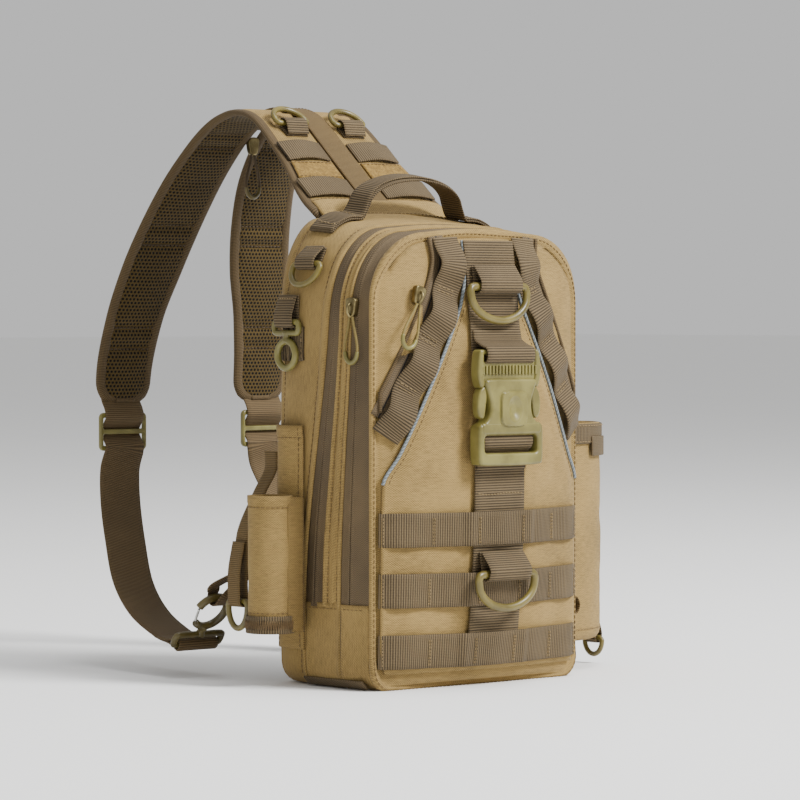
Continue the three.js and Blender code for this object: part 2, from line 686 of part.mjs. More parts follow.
// A flat open-topped pocket on the left side, standing off a little towards its top.
function makeSidePanel() {
  const heights = [SIDE_PANEL.base, 50, 90, 140, SIDE_PANEL.top];
  const rings = heights.map((z) => {
    const depths = [];
    for (let i = 0; i <= SIDE_PANEL.columns; i += 1) {
      depths.push(THREE.MathUtils.lerp(SIDE_PANEL.front, SIDE_PANEL.back, i / SIDE_PANEL.columns));
    }
    const rise = (z - SIDE_PANEL.base) / (SIDE_PANEL.top - SIDE_PANEL.base);
    const face = (extra) => depths.map((y) => {
      const across = (y - SIDE_PANEL.front) / (SIDE_PANEL.back - SIDE_PANEL.front);
      const bulge = SIDE_PANEL.bulge * Math.min(1, rise * 3) * Math.sin(Math.PI * across);
      return at(-(sectionAt(y).halfWidth + GAP + 0.2 + bulge + extra), y, z);
    });
    return face(0).concat(face(CLOTH).reverse());
  });
  addPart('side_panel', loft(rings), 'cloth');
}

function makeSleeve() {
  const circle = (radius, z) => {
    const ring = [];
    for (let i = 0; i < SLEEVE.sides; i += 1) {
      const angle = (2 * Math.PI * i) / SLEEVE.sides;
      ring.push(at(SLEEVE.x + radius * Math.cos(angle), SLEEVE.y + radius * Math.sin(angle), z));
    }
    return ring;
  };
  const inner = SLEEVE.radius - SLEEVE.wall;
  const rings = [
    circle(SLEEVE.radius, SLEEVE.base),
    circle(SLEEVE.radius, SLEEVE.top),
    circle(inner, SLEEVE.top),
    circle(inner, SLEEVE.base),
  ];
  addPart('rod_sleeve', loft(rings, true), 'cloth');
}

// A webbing loop behind the sleeve, sewn to the side panel, with a ring at its lower end.
function makeHanger() {
  const round = HANGER_RING.wire + TAB.clear + TAB.thick / 2;
  const bar = at(HANGER.x, HANGER.y, HANGER.ringZ);
  const down = [
    [HANGER.seat, 172], [HANGER.seat - 0.5, 158], [HANGER.seat - 12, 140], [HANGER.x + 5, 112],
    [HANGER.x + round, 84],
  ];
  const path = down.map(([x, z]) => at(x, HANGER.y, z));
  for (let i = 0; i <= 6; i += 1) {
    const angle = (Math.PI * i) / 6;
    path.push(at(bar.x + round * Math.cos(angle), HANGER.y, bar.z - round * Math.sin(angle)));
  }
  path.push(at(bar.x - round, HANGER.y, 84), at(bar.x + round - 2.6, HANGER.y, 106));
  addPart('side_hanger', strip(path, HANGER.width, TAB.thick, Y_AXIS), 'webbing');
  addPart('hanger_ring', dRing(HANGER_RING, bar, Y_AXIS, Z_AXIS.clone().negate()), 'plastic');
}

// Plan of the bottle pocket: a flat side against the bag and a round outer side.
function bottleRing(z, inset) {
  const ring = [];
  for (let i = 0; i <= BOTTLE_SIDES; i += 1) {
    const angle = Math.PI * (i / BOTTLE_SIDES - 0.5);
    const x = BOTTLE.inner + inset + (BOTTLE.reach - 2 * inset) * Math.cos(angle) ** 0.8;
    ring.push(at(x, BOTTLE.y + (BOTTLE.half - inset) * Math.sin(angle), z));
  }
  ring.push(at(BOTTLE.inner + inset, BOTTLE.y, z));
  return ring;
}

function makeBottlePocket() {
  const outer = BOTTLE_LEVELS.map(({ z, inset }) => bottleRing(z, inset));
  const inner = BOTTLE_LEVELS.map(({ z, inset }, i) => {
    const height = i === 0 ? z + BOTTLE.wall : z;
    return bottleRing(height, inset + BOTTLE.wall);
  });
  addPart('bottle_pocket', loft(outer.concat(inner.reverse())), 'cloth');

  const height = POCKET_BAND.top - POCKET_BAND.base;
  const middle = (POCKET_BAND.top + POCKET_BAND.base) / 2;
  const path = bottleRing(middle, -GAP - WEBBING / 2).slice(1, BOTTLE_SIDES);
  addPart('pocket_band', strip(path, height, WEBBING, Z_AXIS), 'webbing');

  const bar = at(BOTTLE.inner + BOTTLE.reach + GAP + TAB.thick + TAB.clear + TINY_RING.wire, BOTTLE.y, 20);
  const tab = { bar, sew: Z_AXIS, out: X_AXIS, across: Y_AXIS, width: 12, reach: 18, wire: TINY_RING.wire };
  addPart('pocket_ring_tab', ringTab(tab), 'webbing');
  addPart('pocket_ring', dRing(TINY_RING, bar, Y_AXIS, Z_AXIS.clone().negate()), 'plastic');
}

// Centre line of the straps in side view, with the direction out of their upper face.
function strapLine() {
  const line = STRAP_STATIONS.map(({ y, z }) => at(0, y, z));
  return line.map((p, i) => {
    const along = tangentAt(line, i, false);
    return { p, along, out: along.clone().cross(X_AXIS).negate() };
  });
}

// The point on the strap's centre line at depth y, before the crest.
function strapAt(y) {
  const line = strapLine();
  const next = STRAP_STATIONS.findIndex((row) => row.y >= y);
  const low = line[next - 1];
  const high = line[next];
  const part = (y - low.p.y) / (high.p.y - low.p.y);
  const along = high.p.clone().sub(low.p).normalize();
  return { p: low.p.clone().lerp(high.p, part), along, out: along.clone().cross(X_AXIS).negate() };
}

function makeStrap(side, name) {
  const line = strapLine();
  const rings = STRAP_STATIONS.map(({ inner, outer }, i) => {
    const { p, out } = line[i];
    const half = STRAP.thick / 2;
    const soft = STRAP.chamfer;
    const spot = (x, u) => p.clone().addScaledVector(out, u).setX(side * x);
    return [
      spot(inner, -half / 2), spot(inner + soft, -half), spot(outer - soft, -half), spot(outer, -half / 2),
      spot(outer, half / 2), spot(outer - soft, half), spot(inner + soft, half), spot(inner, half / 2),
    ];
  });
  addPart(name, loft(rings), 'mesh');
}

function makeSpine() {
  const line = strapLine().slice(0, SPINE.crest + 1);
  const lift = STRAP.thick / 2 + GAP + WEBBING / 2;
  const path = line.map(({ p, out }) => p.clone().addScaledVector(out, lift));
  addPart('strap_spine', strip(path, SPINE.width, WEBBING, X_AXIS), 'cloth');
}

function makeStrapLoop(side, y, name) {
  const { p, along, out } = strapAt(y);
  const outer = interpolate(STRAP_STATIONS, 'y', y, 'outer') - 2;
  const path = [];
  for (let i = 0; i <= 8; i += 1) {
    const x = THREE.MathUtils.lerp(LOOP.inner, outer, i / 8);
    const lift = STRAP.thick / 2 + GAP + 0.3 + LOOP.arch * Math.sin((Math.PI * i) / 8) + WEBBING / 2;
    path.push(p.clone().addScaledVector(out, lift).setX(side * x));
  }
  addPart(name, strip(path, LOOP.width, WEBBING, along), 'webbing');
}

function makeStrapRing(side, end) {
  const { p, along, out } = strapAt(STRAP_RING.y);
  const lift = STRAP.thick / 2 + GAP + TAB.thick + TAB.clear + SMALL_RING.wire;
  const bar = p.clone().addScaledVector(out, lift).setX(side * STRAP_RING.x);
  const sew = along.clone().negate();
  const tab = { bar, sew, out, across: X_AXIS, width: 21, reach: 11, wire: SMALL_RING.wire };
  addPart(`strap_ring_tab_${end}`, ringTab(tab), 'webbing');
  addPart(`strap_ring_${end}`, dRing(SMALL_RING, bar, X_AXIS, along), 'plastic');
}

// The slider is a frame with a middle bar. The webbing goes behind, over and behind its bars.
function makeSlider(side, end) {
  const shape = roundedRectangle(SLIDER.width, SLIDER.height, 3);
  const slotHeight = (SLIDER.height - 3 * SLIDER.bar) / 2;
  [-1, 1].forEach((way) => {
    const middle = (way * (slotHeight + SLIDER.bar)) / 2;
    const slot = roundedRectangle(WEB.width + 1.6, slotHeight, 1, THREE.Path);
    shape.holes.push(new THREE.Path(slot.getPoints(2).map((p) => new THREE.Vector2(p.x, p.y + middle))));
  });
  const origin = at(side * SLIDER.x, SLIDER.y + SLIDER.thick / 2, SLIDER.z);
  addPart(`strap_slider_${end}`, plate(shape, SLIDER.thick, origin, X_AXIS, Z_AXIS, 2), 'plastic');
}

function makeWeb(side, end) {
  const over = SLIDER.thick / 2 + WEB.thick / 2 + 0.5;
  const weave = [
    { rise: 24.4, out: 1.07 }, { rise: 19, out: -0.3 }, { rise: 14, out: -1 }, { rise: 10.6, out: -1 },
    { rise: 6.5, out: 0 }, { rise: 2.4, out: 1 }, { rise: 0, out: 1.05 }, { rise: -2.4, out: 1 },
    { rise: -6.5, out: 0 }, { rise: -10.6, out: -1 }, { rise: -14, out: -1 },
  ];
  const path = weave.map(({ rise, out }) => at(side * SLIDER.x, SLIDER.y + out * over, SLIDER.z + rise));
  WEB_ROUTE.forEach(({ x, y, z }) => path.push(at(side * x, y, z)));
  const { x, y, z } = STRAP_HOOK;
  const round = HOOK.frameWire + TAB.clear + WEB.thick / 2;
  for (let i = 0; i <= 6; i += 1) {
    const angle = (Math.PI * i) / 6;
    path.push(at(side * x, y - round * Math.sin(angle), z - round * Math.cos(angle)));
  }
  path.push(at(side * x, y + 12, z + round - 1), at(side * (x - 2), y + 26, z + round));
  addPart(`strap_web_${end}`, strip(path, WEB.width, WEB.thick, X_AXIS), 'webbing');
}

function hookFrame(side) {
  const bar = at(side * STRAP_HOOK.x, STRAP_HOOK.y, STRAP_HOOK.z);
  const lean = THREE.MathUtils.degToRad(STRAP_HOOK.lean);
  const axis = at(0, -Math.sin(lean), Math.cos(lean));
  return { bar, axis, across: X_AXIS };
}

function makeStrapHook(side, end) {
  const { bar, axis, across } = hookFrame(side);
  const sweep = side < 0 ? { from: -132, to: 160 } : { from: -90, to: 270 };
  addPart(`strap_hook_${end}`, snapHook(HOOK, bar, across, axis, sweep), 'plastic');
  const top = HOOK.frameDepth + HOOK.neck + 2 * HOOK.round;
  const eye = bar.clone().addScaledVector(axis, top);
  const round = HOOK.wire + ANCHOR.clear + TAB.thick / 2;
  const sewn = at(side * (ANCHOR.x + 2), ANCHOR.y + 4, ANCHOR.bend - 6);
  const back = sewn.clone().sub(eye).setX(0).normalize();
  const out = back.clone().cross(across).normalize();
  const path = [
    at(side * ANCHOR.x, ANCHOR.y, ANCHOR.top), at(side * ANCHOR.x, ANCHOR.y + 0.2, ANCHOR.bend), sewn,
  ];
  path.push(eye.clone().addScaledVector(back, 10).addScaledVector(out, round));
  for (let i = 0; i <= 6; i += 1) {
    const angle = (Math.PI * i) / 6;
    path.push(eye.clone().addScaledVector(back, -round * Math.sin(angle))
      .addScaledVector(out, round * Math.cos(angle)));
  }
  const rest = sewn.clone().lerp(eye, 0.35).addScaledVector(out, -TAB.thick - 0.8);
  path.push(eye.clone().addScaledVector(back, 8).addScaledVector(out, -round), rest);
  addPart(`anchor_tab_${end}`, strip(path, ANCHOR.width, TAB.thick, across), 'webbing');
}

// The wire gate closes the left hook between its stub and its nose.
function makeGate() {
  const { bar, axis, across } = hookFrame(-1);
  const centre = HOOK.frameDepth + HOOK.neck + HOOK.round;
  const spot = (degrees, radius) => {
    const angle = THREE.MathUtils.degToRad(degrees);
    return bar.clone().addScaledVector(across, radius * Math.cos(angle))
      .addScaledVector(axis, centre + radius * Math.sin(angle));
  };
  const path = [spot(GATE.from, HOOK.round), spot(GATE.to, HOOK.round - GATE.tipInset)];
  addPart('hook_gate_left', wire(path, GATE.wire, across.clone().cross(axis).normalize(), false), 'metal');
}

// A zip slider on its tape and the loop of cord that hangs from its eye.
function makeZipPull(pull) {
  const { name, eye, across, down } = pull;
  const out = across.clone().cross(down).normalize();
  const matrix = new THREE.Matrix4().makeBasis(across, down, out).setPosition(eye);
  const foot = GAP - pull.seat;
  const low = at(-ZIP_SLIDER.width / 2, -ZIP_SLIDER.length, foot);
  const high = at(ZIP_SLIDER.width / 2, -GAP, foot + ZIP_SLIDER.thick);
  const slider = block(low, high).applyMatrix4(matrix);
  addPart(`zip_slider_${name}`, slider, 'slider');
  const points = PULL_ROUTE.map((row) => eye.clone()
    .addScaledVector(across, row.across).addScaledVector(down, row.down));
  const section = new THREE.Shape();
  for (let i = 0; i <= CORD.sides; i += 1) {
    const angle = (2 * Math.PI * i) / CORD.sides;
    const x = (CORD.diameter / 2) * Math.cos(angle);
    const y = (CORD.diameter / 2) * Math.sin(angle);
    if (i === 0) section.moveTo(x, y);
    else section.lineTo(x, y);
  }
  const extrudePath = new THREE.CatmullRomCurve3(points);
  const cord = new THREE.ExtrudeGeometry(section, { steps: CORD.steps, extrudePath, curveSegments: 1 });
  addPart(`zip_pull_${name}`, cord, 'cord');
}

function makeZipPulls() {
  const down = Z_AXIS.clone().negate();
  const frontZip = (FRONT.zipBack + FRONT.zipFront) / 2;
  const side = sectionAt(frontZip).halfWidth - TAPE_INSET + 4.9;
  const slash = onFront(-72, 281, 7);
  const slope = at(-0.35, 0, -0.94).normalize();
  const pulls = [
    { name: 'front_left', eye: at(-side, frontZip, 272), across: Y_AXIS, down, seat: 4.2 },
    { name: 'front_right', eye: at(side, frontZip, 272), across: Y_AXIS.clone().negate(), down, seat: 4.2 },
    { name: 'slash', eye: slash, across: at(slope.z, 0, -slope.x), down: slope, seat: 6.2 },
    { name: 'strap', eye: at(0, 207, 399), across: X_AXIS, down, seat: 2.5 },
  ];
  pulls.forEach(makeZipPull);
}

makeBody();
makeFrontPocket();
makeRows();
makeCentreStrip('center_webbing_top', CENTRE.top, CENTRE.buckleTop);
makeCentreStrip('center_webbing_low', CENTRE.buckleBase, CENTRE.end);
makeFrontRings();
makeBuckle();
makeHandle();
makeSideRing();
makeSideHook();
makeSidePanel();
makeSleeve();
makeHanger();
makeBottlePocket();
makeSpine();
makeGate();
makeZipPulls();
[{ side: -1, end: 'left' }, { side: 1, end: 'right' }].forEach(({ side, end }) => {
  makeSlashWebbing(side, `slash_webbing_${end}`);
  makeStrap(side, `strap_${end}`);
  makeStrapLoop(side, LOOP.upperY, `strap_loop_upper_${end}`);
  makeStrapLoop(side, LOOP.lowerY, `strap_loop_lower_${end}`);
  makeStrapRing(side, end);
  makeSlider(side, end);
  makeWeb(side, end);
  makeStrapHook(side, end);
});

export default backpack;
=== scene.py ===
import bisect
import math

import bpy
from mathutils import Matrix, Vector, noise


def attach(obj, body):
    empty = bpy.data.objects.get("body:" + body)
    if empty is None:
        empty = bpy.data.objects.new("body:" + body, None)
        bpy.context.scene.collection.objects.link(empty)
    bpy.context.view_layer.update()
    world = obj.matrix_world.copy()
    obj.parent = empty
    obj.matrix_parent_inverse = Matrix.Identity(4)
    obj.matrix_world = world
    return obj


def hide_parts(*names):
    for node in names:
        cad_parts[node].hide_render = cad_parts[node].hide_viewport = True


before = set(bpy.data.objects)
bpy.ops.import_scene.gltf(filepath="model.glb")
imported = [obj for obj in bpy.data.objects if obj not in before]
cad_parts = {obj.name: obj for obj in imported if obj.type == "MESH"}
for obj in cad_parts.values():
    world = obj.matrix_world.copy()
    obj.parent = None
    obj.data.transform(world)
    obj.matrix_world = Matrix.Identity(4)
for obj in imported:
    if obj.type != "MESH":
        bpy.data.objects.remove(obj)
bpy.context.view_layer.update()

# sizes below are in millimetres in the bag's frame, and mmScale turns them into metres
bag = "bag"
mmScale = 0.001
xAxis = Vector((1, 0, 0))
yAxis = Vector((0, 1, 0))
zAxis = Vector((0, 0, 1))
twoPi = 2 * math.pi
tiny = 1e-9
leftRight = ((-1, "left"), (1, "right"))
halfTurn = [(math.cos(math.pi * i / 8), math.sin(math.pi * i / 8)) for i in range(9)]


def mm(x, y, z):
    return Vector((x, y, z))


def clamp(value, low=0.0, high=1.0):
    return max(low, min(high, value))


def smooth(value, low, high):
    t = clamp((value - low) / (high - low))
    return t * t * (3 - 2 * t)


def lerp(a, b, t):
    return a + (b - a) * t


def spread(low, high, count):
    return [low + (high - low) * i / (count - 1) for i in range(count)]


def grid(downs, acrosses, spot):
    return [[spot(d, a) for a in acrosses] for d in downs]


# smooth look-up in a table of rows, through every row
def fromTable(rows, where, column):
    keys = [row[0] for row in rows]
    if where <= keys[0]:
        return rows[0][column]
    if where >= keys[-1]:
        return rows[-1][column]
    i = bisect.bisect_right(keys, where) - 1
    a, b = rows[i], rows[i + 1]
    span = b[0] - a[0]
    t = (where - a[0]) / span

    def rise(j):
        return (rows[j + 1][column] - rows[j][column]) / (rows[j + 1][0] - rows[j][0])

    def slope(j):
        if j in (0, len(rows) - 1):
            return rise(min(j, len(rows) - 2))
        before, after = rise(j - 1), rise(j)
        return 0 if before * after <= 0 else 2 * before * after / (before + after)

    h00 = 2 * t ** 3 - 3 * t ** 2 + 1
    h10 = t ** 3 - 2 * t ** 2 + t
    h11 = t ** 3 - t ** 2
    return h00 * a[column] + h10 * span * slope(i) + (1 - h00) * b[column] + h11 * span * slope(i + 1)


def wobble(p, size, seed):
    return noise.noise(Vector((p[0] / size + seed, p[1] / size, p[2] / size)))


# wide dents and finer ones, each given as a size and a seed
def dents(p, wide, fine, share=0.5):
    return wobble(p, *wide) + share * wobble(p, *fine)


def pathLengths(points):
    runs = [0.0]
    for a, b in zip(points, points[1:]):
        runs.append(runs[-1] + (b - a).length)
    return runs


def evenPath(points, step):
    runs = pathLengths(points)
    count = max(2, round(runs[-1] / step) + 1)
    out = []
    for target in spread(0, runs[-1], count):
        i = min(max(bisect.bisect_right(runs, target) - 1, 0), len(points) - 2)
        t = (target - runs[i]) / max(runs[i + 1] - runs[i], tiny)
        out.append(points[i].lerp(points[i + 1], clamp(t)))
    return out


# a smooth curve through a few points, then spaced evenly
def curvePath(points, step, closed=False):
    points = [Vector(p) for p in points]
    n = len(points)
    fine = []
    for i in range(n if closed else n - 1):
        if closed:
            p0, p1, p2, p3 = (points[(i + k) % n] for k in (-1, 0, 1, 2))
        else:
            p1, p2 = points[i], points[i + 1]
            p0 = points[i - 1] if i else p1 * 2 - p2
            p3 = points[i + 2] if i + 2 < n else p2 * 2 - p1
        for s in range(12):
            t = s / 12
            fine.append(0.5 * (2 * p1 + (p2 - p0) * t + (2 * p0 - 5 * p1 + 4 * p2 - p3) * t ** 2
                               + (3 * p1 - p0 - 3 * p2 + p3) * t ** 3))
    fine.append(points[0].copy() if closed else points[-1])
    path = evenPath(fine, step)
    return path[:-1] if closed else path


def tangents(path, closed=False):
    n = len(path)
    out = []
    for i in range(n):
        a = path[i - 1] if closed or i else path[0]
        b = path[(i + 1) % n] if closed or i < n - 1 else path[-1]
        out.append((b - a).normalized())
    return out


def addObject(name, data):
    obj = bpy.data.objects.new(name, data)
    bpy.context.scene.collection.objects.link(obj)
    return obj


def addSpline(curve, spots):
    spline = curve.splines.new("POLY")
    spline.points.add(len(spots) - 1)
    for point, spot in zip(spline.points, spots):
        point.co = (*(spot * mmScale), 1)
    return spline


# one object from a mesh in mm, with flat map positions in mm for weave and ribs
def makePiece(name, mesh, materials, node=None, rides=bag):
    points, faces, maps = mesh
    data = bpy.data.meshes.new(name)
    data.from_pydata([p * mmScale for p in points], [], faces)
    layer = data.uv_layers.new(name="clothMap")
    for loop in data.loops:
        layer.data[loop.index].uv = maps[loop.vertex_index]
    for material in materials if isinstance(materials, list) else [materials]:
        data.materials.append(material)
    data.polygons.foreach_set("use_smooth", [True] * len(data.polygons))
    data.update()
    obj = addObject(name, data)
    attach(obj, rides)
    if node:
        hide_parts(node)
    return obj


# a sheet of cloth from rows of points, given a back side so that it has real thickness
def sheetPiece(name, rows, thick, material, node=None, closed=False, flip=False, mapOf=None):
    count = len(rows[0])
    wrap = count if closed else count - 1
    front = [p for row in rows for p in row]
    size = len(front)
    middle = count // 2
    maps = []
    for row, v in zip(rows, pathLengths([row[middle] for row in rows])):
        runs = pathLengths(row)
        maps += [mapOf(p) if mapOf else (u - runs[middle], v) for p, u in zip(row, runs)]
    normals = [Vector() for _ in front]
    quads = []
    for i in range(len(rows) - 1):
        for j in range(wrap):
            k = (j + 1) % count
            quad = (i * count + j, i * count + k, (i + 1) * count + k, (i + 1) * count + j)
            if flip:
                quad = quad[::-1]
            quads.append(quad)
            n = (front[quad[2]] - front[quad[0]]).cross(front[quad[3]] - front[quad[1]])
            for v in quad:
                normals[v] += n
    back = [p - n.normalized() * thick for p, n in zip(front, normals)]
    faces = quads + [tuple(size + v for v in quad[::-1]) for quad in quads]

    def rim(edge):
        for a, b in zip(edge, edge[1:]):
            faces.append((a, size + a, size + b, b) if flip else (b, size + b, size + a, a))

    last = (len(rows) - 1) * count
    rowEnd = count + 1 if closed else count
    rim([j % count for j in range(rowEnd)][::-1])
    rim([last + j % count for j in range(rowEnd)])
    if not closed:
        rim([i * count for i in range(len(rows))])
        rim([i * count + count - 1 for i in range(len(rows))][::-1])
    return makePiece(name, (front + back, faces, maps + maps), material, node)


def ringFaces(rings, count, closed=False):
    faces = []
    for i in range(rings if closed else rings - 1):
        a, b = i * count, ((i + 1) % rings) * count
        for j in range(count):
            k = (j + 1) % count
            faces.append((a + j, a + k, b + k, b + j))
    if not closed:
        faces.append(tuple(range(count))[::-1])
        end = (rings - 1) * count
        faces.append(tuple(range(end, end + count)))
    return faces


selvedge = dict(inset=0.5, height=0.25)  # the softened edge of all webbing


# flat webbing along a path: across is its width direction, or a normal by point
def webbingMesh(path, width, thick, across, columns=6, closed=False):
    half = thick / 2
    flat = [(s, 1) for s in spread(-1, 1, columns)]
    top = [(-1, selvedge["height"]), *flat, (1, selvedge["height"])]
    points, maps = [], []
    for i, (p, along, run) in enumerate(zip(path, tangents(path, closed), pathLengths(path))):
        w = width(i / (len(path) - 1)) if callable(width) else width
        wide = across(p).cross(along) if callable(across) else across
        side = (wide - along * wide.dot(along)).normalized()
        up = along.cross(side)
        ring = [(s * (w / 2 - (selvedge["inset"] if h == 1 else 0)), h) for s, h in top]
        ring += [(s, -h) for s, h in ring[::-1]]
        points += [p + side * s + up * h * half for s, h in ring]
        maps += [(s, run) for s, _ in ring]
    return points, ringFaces(len(path), len(top) * 2, closed), maps


def webbingPiece(name, path, width, thick, across, material, node=None, columns=6):
    return makePiece(name, webbingMesh(path, width, thick, across, columns), material, node)


# a round wire or cord, closed on itself for a ring
def wireMesh(path, radius, normal, closed=False, sides=14, flat=1.0):
    points, maps = [], []
    for i, (p, along, run) in enumerate(zip(path, tangents(path, closed), pathLengths(path))):
        side = along.cross(normal).normalized()
        r = radius(i / (len(path) - 1)) if callable(radius) else radius
        up = side.cross(along).normalized()
        for k in range(sides):
            a = twoPi * k / sides
            points.append(p + side * r * math.cos(a) + up * r * flat * math.sin(a))
            maps.append((r * a, run))
    return points, ringFaces(len(path), sides, closed), maps


def wirePiece(name, path, radius, normal, material, slot, node=None, rides=bag, **form):
    return makePiece(name, wireMesh(path, radius, normal, **form), material, node, rides)


def joinMeshes(parts):
    points, faces, maps = [], [], []
    for p, f, m in parts:
        base = len(points)
        points += p
        maps += m
        faces += [tuple(base + v for v in face) for face in f]
    return points, faces, maps


stitch = dict(length=2.6, gap=1.3, radius=0.28, shortest=0.5, sides=6,
              taper=((0, 0.35), (0.2, 1), (0.8, 1), (1, 0.35)), lift=0.9, sink=-0.2)
threadRuns = {}


# one short thread, a slim six-sided bar tapered at both ends
def stitchMesh(a, b, out, radius):
    side = (b - a).normalized().cross(out).normalized()
    points, maps = [], []
    for t, r in stitch["taper"]:
        lift = radius * (stitch["lift"] if 0 < t < 1 else stitch["sink"])
        for k in range(stitch["sides"]):
            angle = twoPi * k / stitch["sides"]
            spot = side * math.cos(angle) + out * math.sin(angle)
            points.append(a.lerp(b, t) + out * lift + spot * radius * r)
            maps.append((k, t * 3))
    return points, ringFaces(len(stitch["taper"]), stitch["sides"]), maps


# threads gathered by name, each name made into one piece at the end
def stitchLine(group, path, normal, length=stitch["length"], gap=stitch["gap"], radius=stitch["radius"]):
    points = evenPath(path, (length + gap) / 4)
    runs = pathLengths(points)

    def at(run):
        return points[min(bisect.bisect_left(runs, run), len(points) - 1)]

    for i in range(max(1, int(runs[-1] / (length + gap)))):
        start = i * (length + gap) + gap / 2
        a, b = at(start), at(start + length)
        if (b - a).length >= stitch["shortest"]:
            out = normal(a) if callable(normal) else normal
            threadRuns.setdefault(group, []).append(stitchMesh(a, b, out, radius))


print("helpers ready")


# camera: the photo's view through a long lens, its place in metres
view = dict(lens=180, sensor=36, place=(-2.024, -2.214, 0.277), yaw=-42.0, pitch=-1.29, clip=60)


def makeCamera():
    data = bpy.data.cameras.new("photoView")
    data.lens = view["lens"]
    data.sensor_width = view["sensor"]
    data.clip_end = view["clip"]
    cam = addObject("photoView", data)
    cam.location = view["place"]
    cam.rotation_euler = (math.radians(90 + view["pitch"]), 0, math.radians(view["yaw"]))
    bpy.context.scene.camera = cam


makeCamera()
print("camera ready")


# materials: finishes made of nodes, on the piece's flat map in millimetres or on noise in metres
def srgb(r, g, b):
    def channel(c):
        c /= 255
        return c / 12.92 if c <= 0.04045 else ((c + 0.055) / 1.055) ** 2.4
    return (channel(r), channel(g), channel(b), 1)


class Finish:
    def __init__(self, name):
        self.mat = bpy.data.materials.new(name)
        self.mat.use_nodes = True
        self.tree = self.mat.node_tree
        self.bsdf = self.tree.nodes["Principled BSDF"]

    def put(self, socket, value):
        if isinstance(value, bpy.types.NodeSocket):
            self.tree.links.new(value, socket)
        else:
            socket.default_value = value

    # inputs come in order, or as a dictionary by name or place
    def node(self, kind, settings, inputs):
        made = self.tree.nodes.new("ShaderNode" + kind)
        for key, value in settings.items():
            setattr(made, key, value)
        for key, value in inputs.items() if isinstance(inputs, dict) else enumerate(inputs):
            self.put(made.inputs[key], value)
        return made

    def math(self, operation, a, b=0.0, c=0.0):
        return self.node("Math", dict(operation=operation), (a, b, c)).outputs[0]

    def times(self, a, b):
        return self.math("MULTIPLY", a, b)

    def timesPlus(self, a, b, c):
        return self.math("MULTIPLY_ADD", a, b, c)

    def flatMap(self):
        uv = self.node("UVMap", dict(uv_map="clothMap"), ()).outputs[0]
        split = self.node("SeparateXYZ", {}, (uv,))
        return uv, split.outputs[0], split.outputs[1]

    def stretched(self, uv, scale):
        return self.node("Mapping", {}, dict(Vector=uv, Scale=scale)).outputs[0]

    # 0 to 1 wave of a period in mm
    def wave(self, along, period):
        turned = self.timesPlus(along, twoPi / period, 0.0)
        return self.timesPlus(self.math("SINE", turned), 0.5, 0.5)

    def noise(self, scale, detail=3, roughness=0.55, space=None):
        if space is None:
            space = self.node("TexCoord", {}, ()).outputs["Object"]
        sockets = dict(Vector=space, Scale=scale, Detail=detail, Roughness=roughness)
        return self.node("TexNoise", {}, sockets).outputs[0]

    def ramp(self, fac, low, high):
        sockets = {"Value": fac, "From Min": low, "From Max": high}
        return self.node("MapRange", dict(interpolation_type="SMOOTHSTEP"), sockets).outputs[0]

    def mix(self, fac, a, b):
        made = self.node("Mix", dict(data_type="RGBA", blend_type="MIX"), {0: fac, 6: a, 7: b})
        return made.outputs[2]

    def colour(self, value):
        self.put(self.bsdf.inputs["Base Color"], value)

    # colour between dark and light by a shade
    def tone(self, shade, low, high, dark, light):
        self.colour(self.mix(self.ramp(shade, low, high), dark, light))

    def gloss(self, value):
        self.put(self.bsdf.inputs["Roughness"], value)

    def bump(self, height, strength, distance):
        sockets = dict(Height=height, Strength=strength, Distance=distance)
        self.put(self.bsdf.inputs["Normal"], self.node("Bump", {}, sockets).outputs[0])

    def sheen(self, weight, roughness=0.5):
        self.bsdf.inputs["Sheen Weight"].default_value = weight
        self.bsdf.inputs["Sheen Roughness"].default_value = roughness
        self.bsdf.inputs["Specular IOR Level"].default_value = 0.2  # yarn mirrors less than plastic


# woven nylon: fine over-and-under weave, slubs, and soft patches of shade
def wovenCloth(name, light, dark, pitch=2.0):
    f = Finish(name)
    uv, u, v = f.flatMap()
    warp = f.wave(u, pitch)
    weft = f.wave(v, pitch * 0.8)
    over = f.times(f.math("SUBTRACT", warp, 0.5), f.math("SUBTRACT", weft, 0.5))
    weave = f.timesPlus(over, 2.0, 0.5)
    slub = f.noise(0.9, 2, 0.5, f.stretched(uv, (0.16, 1.1, 1)))
    patch = f.noise(14)
    grain = f.noise(900, 2)
    shade = f.math("ADD", f.times(weave, 0.35), f.times(slub, 0.45))
    shade = f.timesPlus(patch, 0.5, f.timesPlus(grain, 0.2, shade))
    f.tone(shade, 0.35, 1.0, dark, light)
    f.gloss(f.timesPlus(slub, 0.15, 0.72))
    f.bump(f.timesPlus(slub, 0.6, weave), 0.5, 0.0004)
    f.sheen(0.05)
    return f.mat


# ribbed webbing: ribs across its length, light flecks on the ribs that are yarn tone and painted highlight on
# the threads, and firm edges
def ribbedWebbing(name, light, dark, pitch=1.9, strength=0.6):
    f = Finish(name)
    uv, u, v = f.flatMap()
    rib = f.wave(v, pitch)
    warp = f.wave(u, 1.15)
    cross = f.wave(f.math("ADD", f.times(u, 0.5), v), pitch * 2)
    # light flecks: random yarn tone, partly a painted highlight standing for glints on the threads
    fleck = f.noise(1.4, 2, 0.6, f.stretched(uv, (0.9, 0.5, 1)))
    patch = f.noise(22)
    shade = f.timesPlus(rib, 0.5, f.times(warp, 0.14))
    shade = f.timesPlus(fleck, 0.34, shade)
    shade = f.timesPlus(patch, 0.34, shade)
    f.tone(shade, 0.2, 1.05, dark, light)
    f.gloss(f.timesPlus(rib, -0.12, 0.78))
    f.bump(f.timesPlus(warp, 0.3, f.timesPlus(cross, 0.15, rib)), strength, 0.0005)
    f.sheen(0.03)
    return f.mat
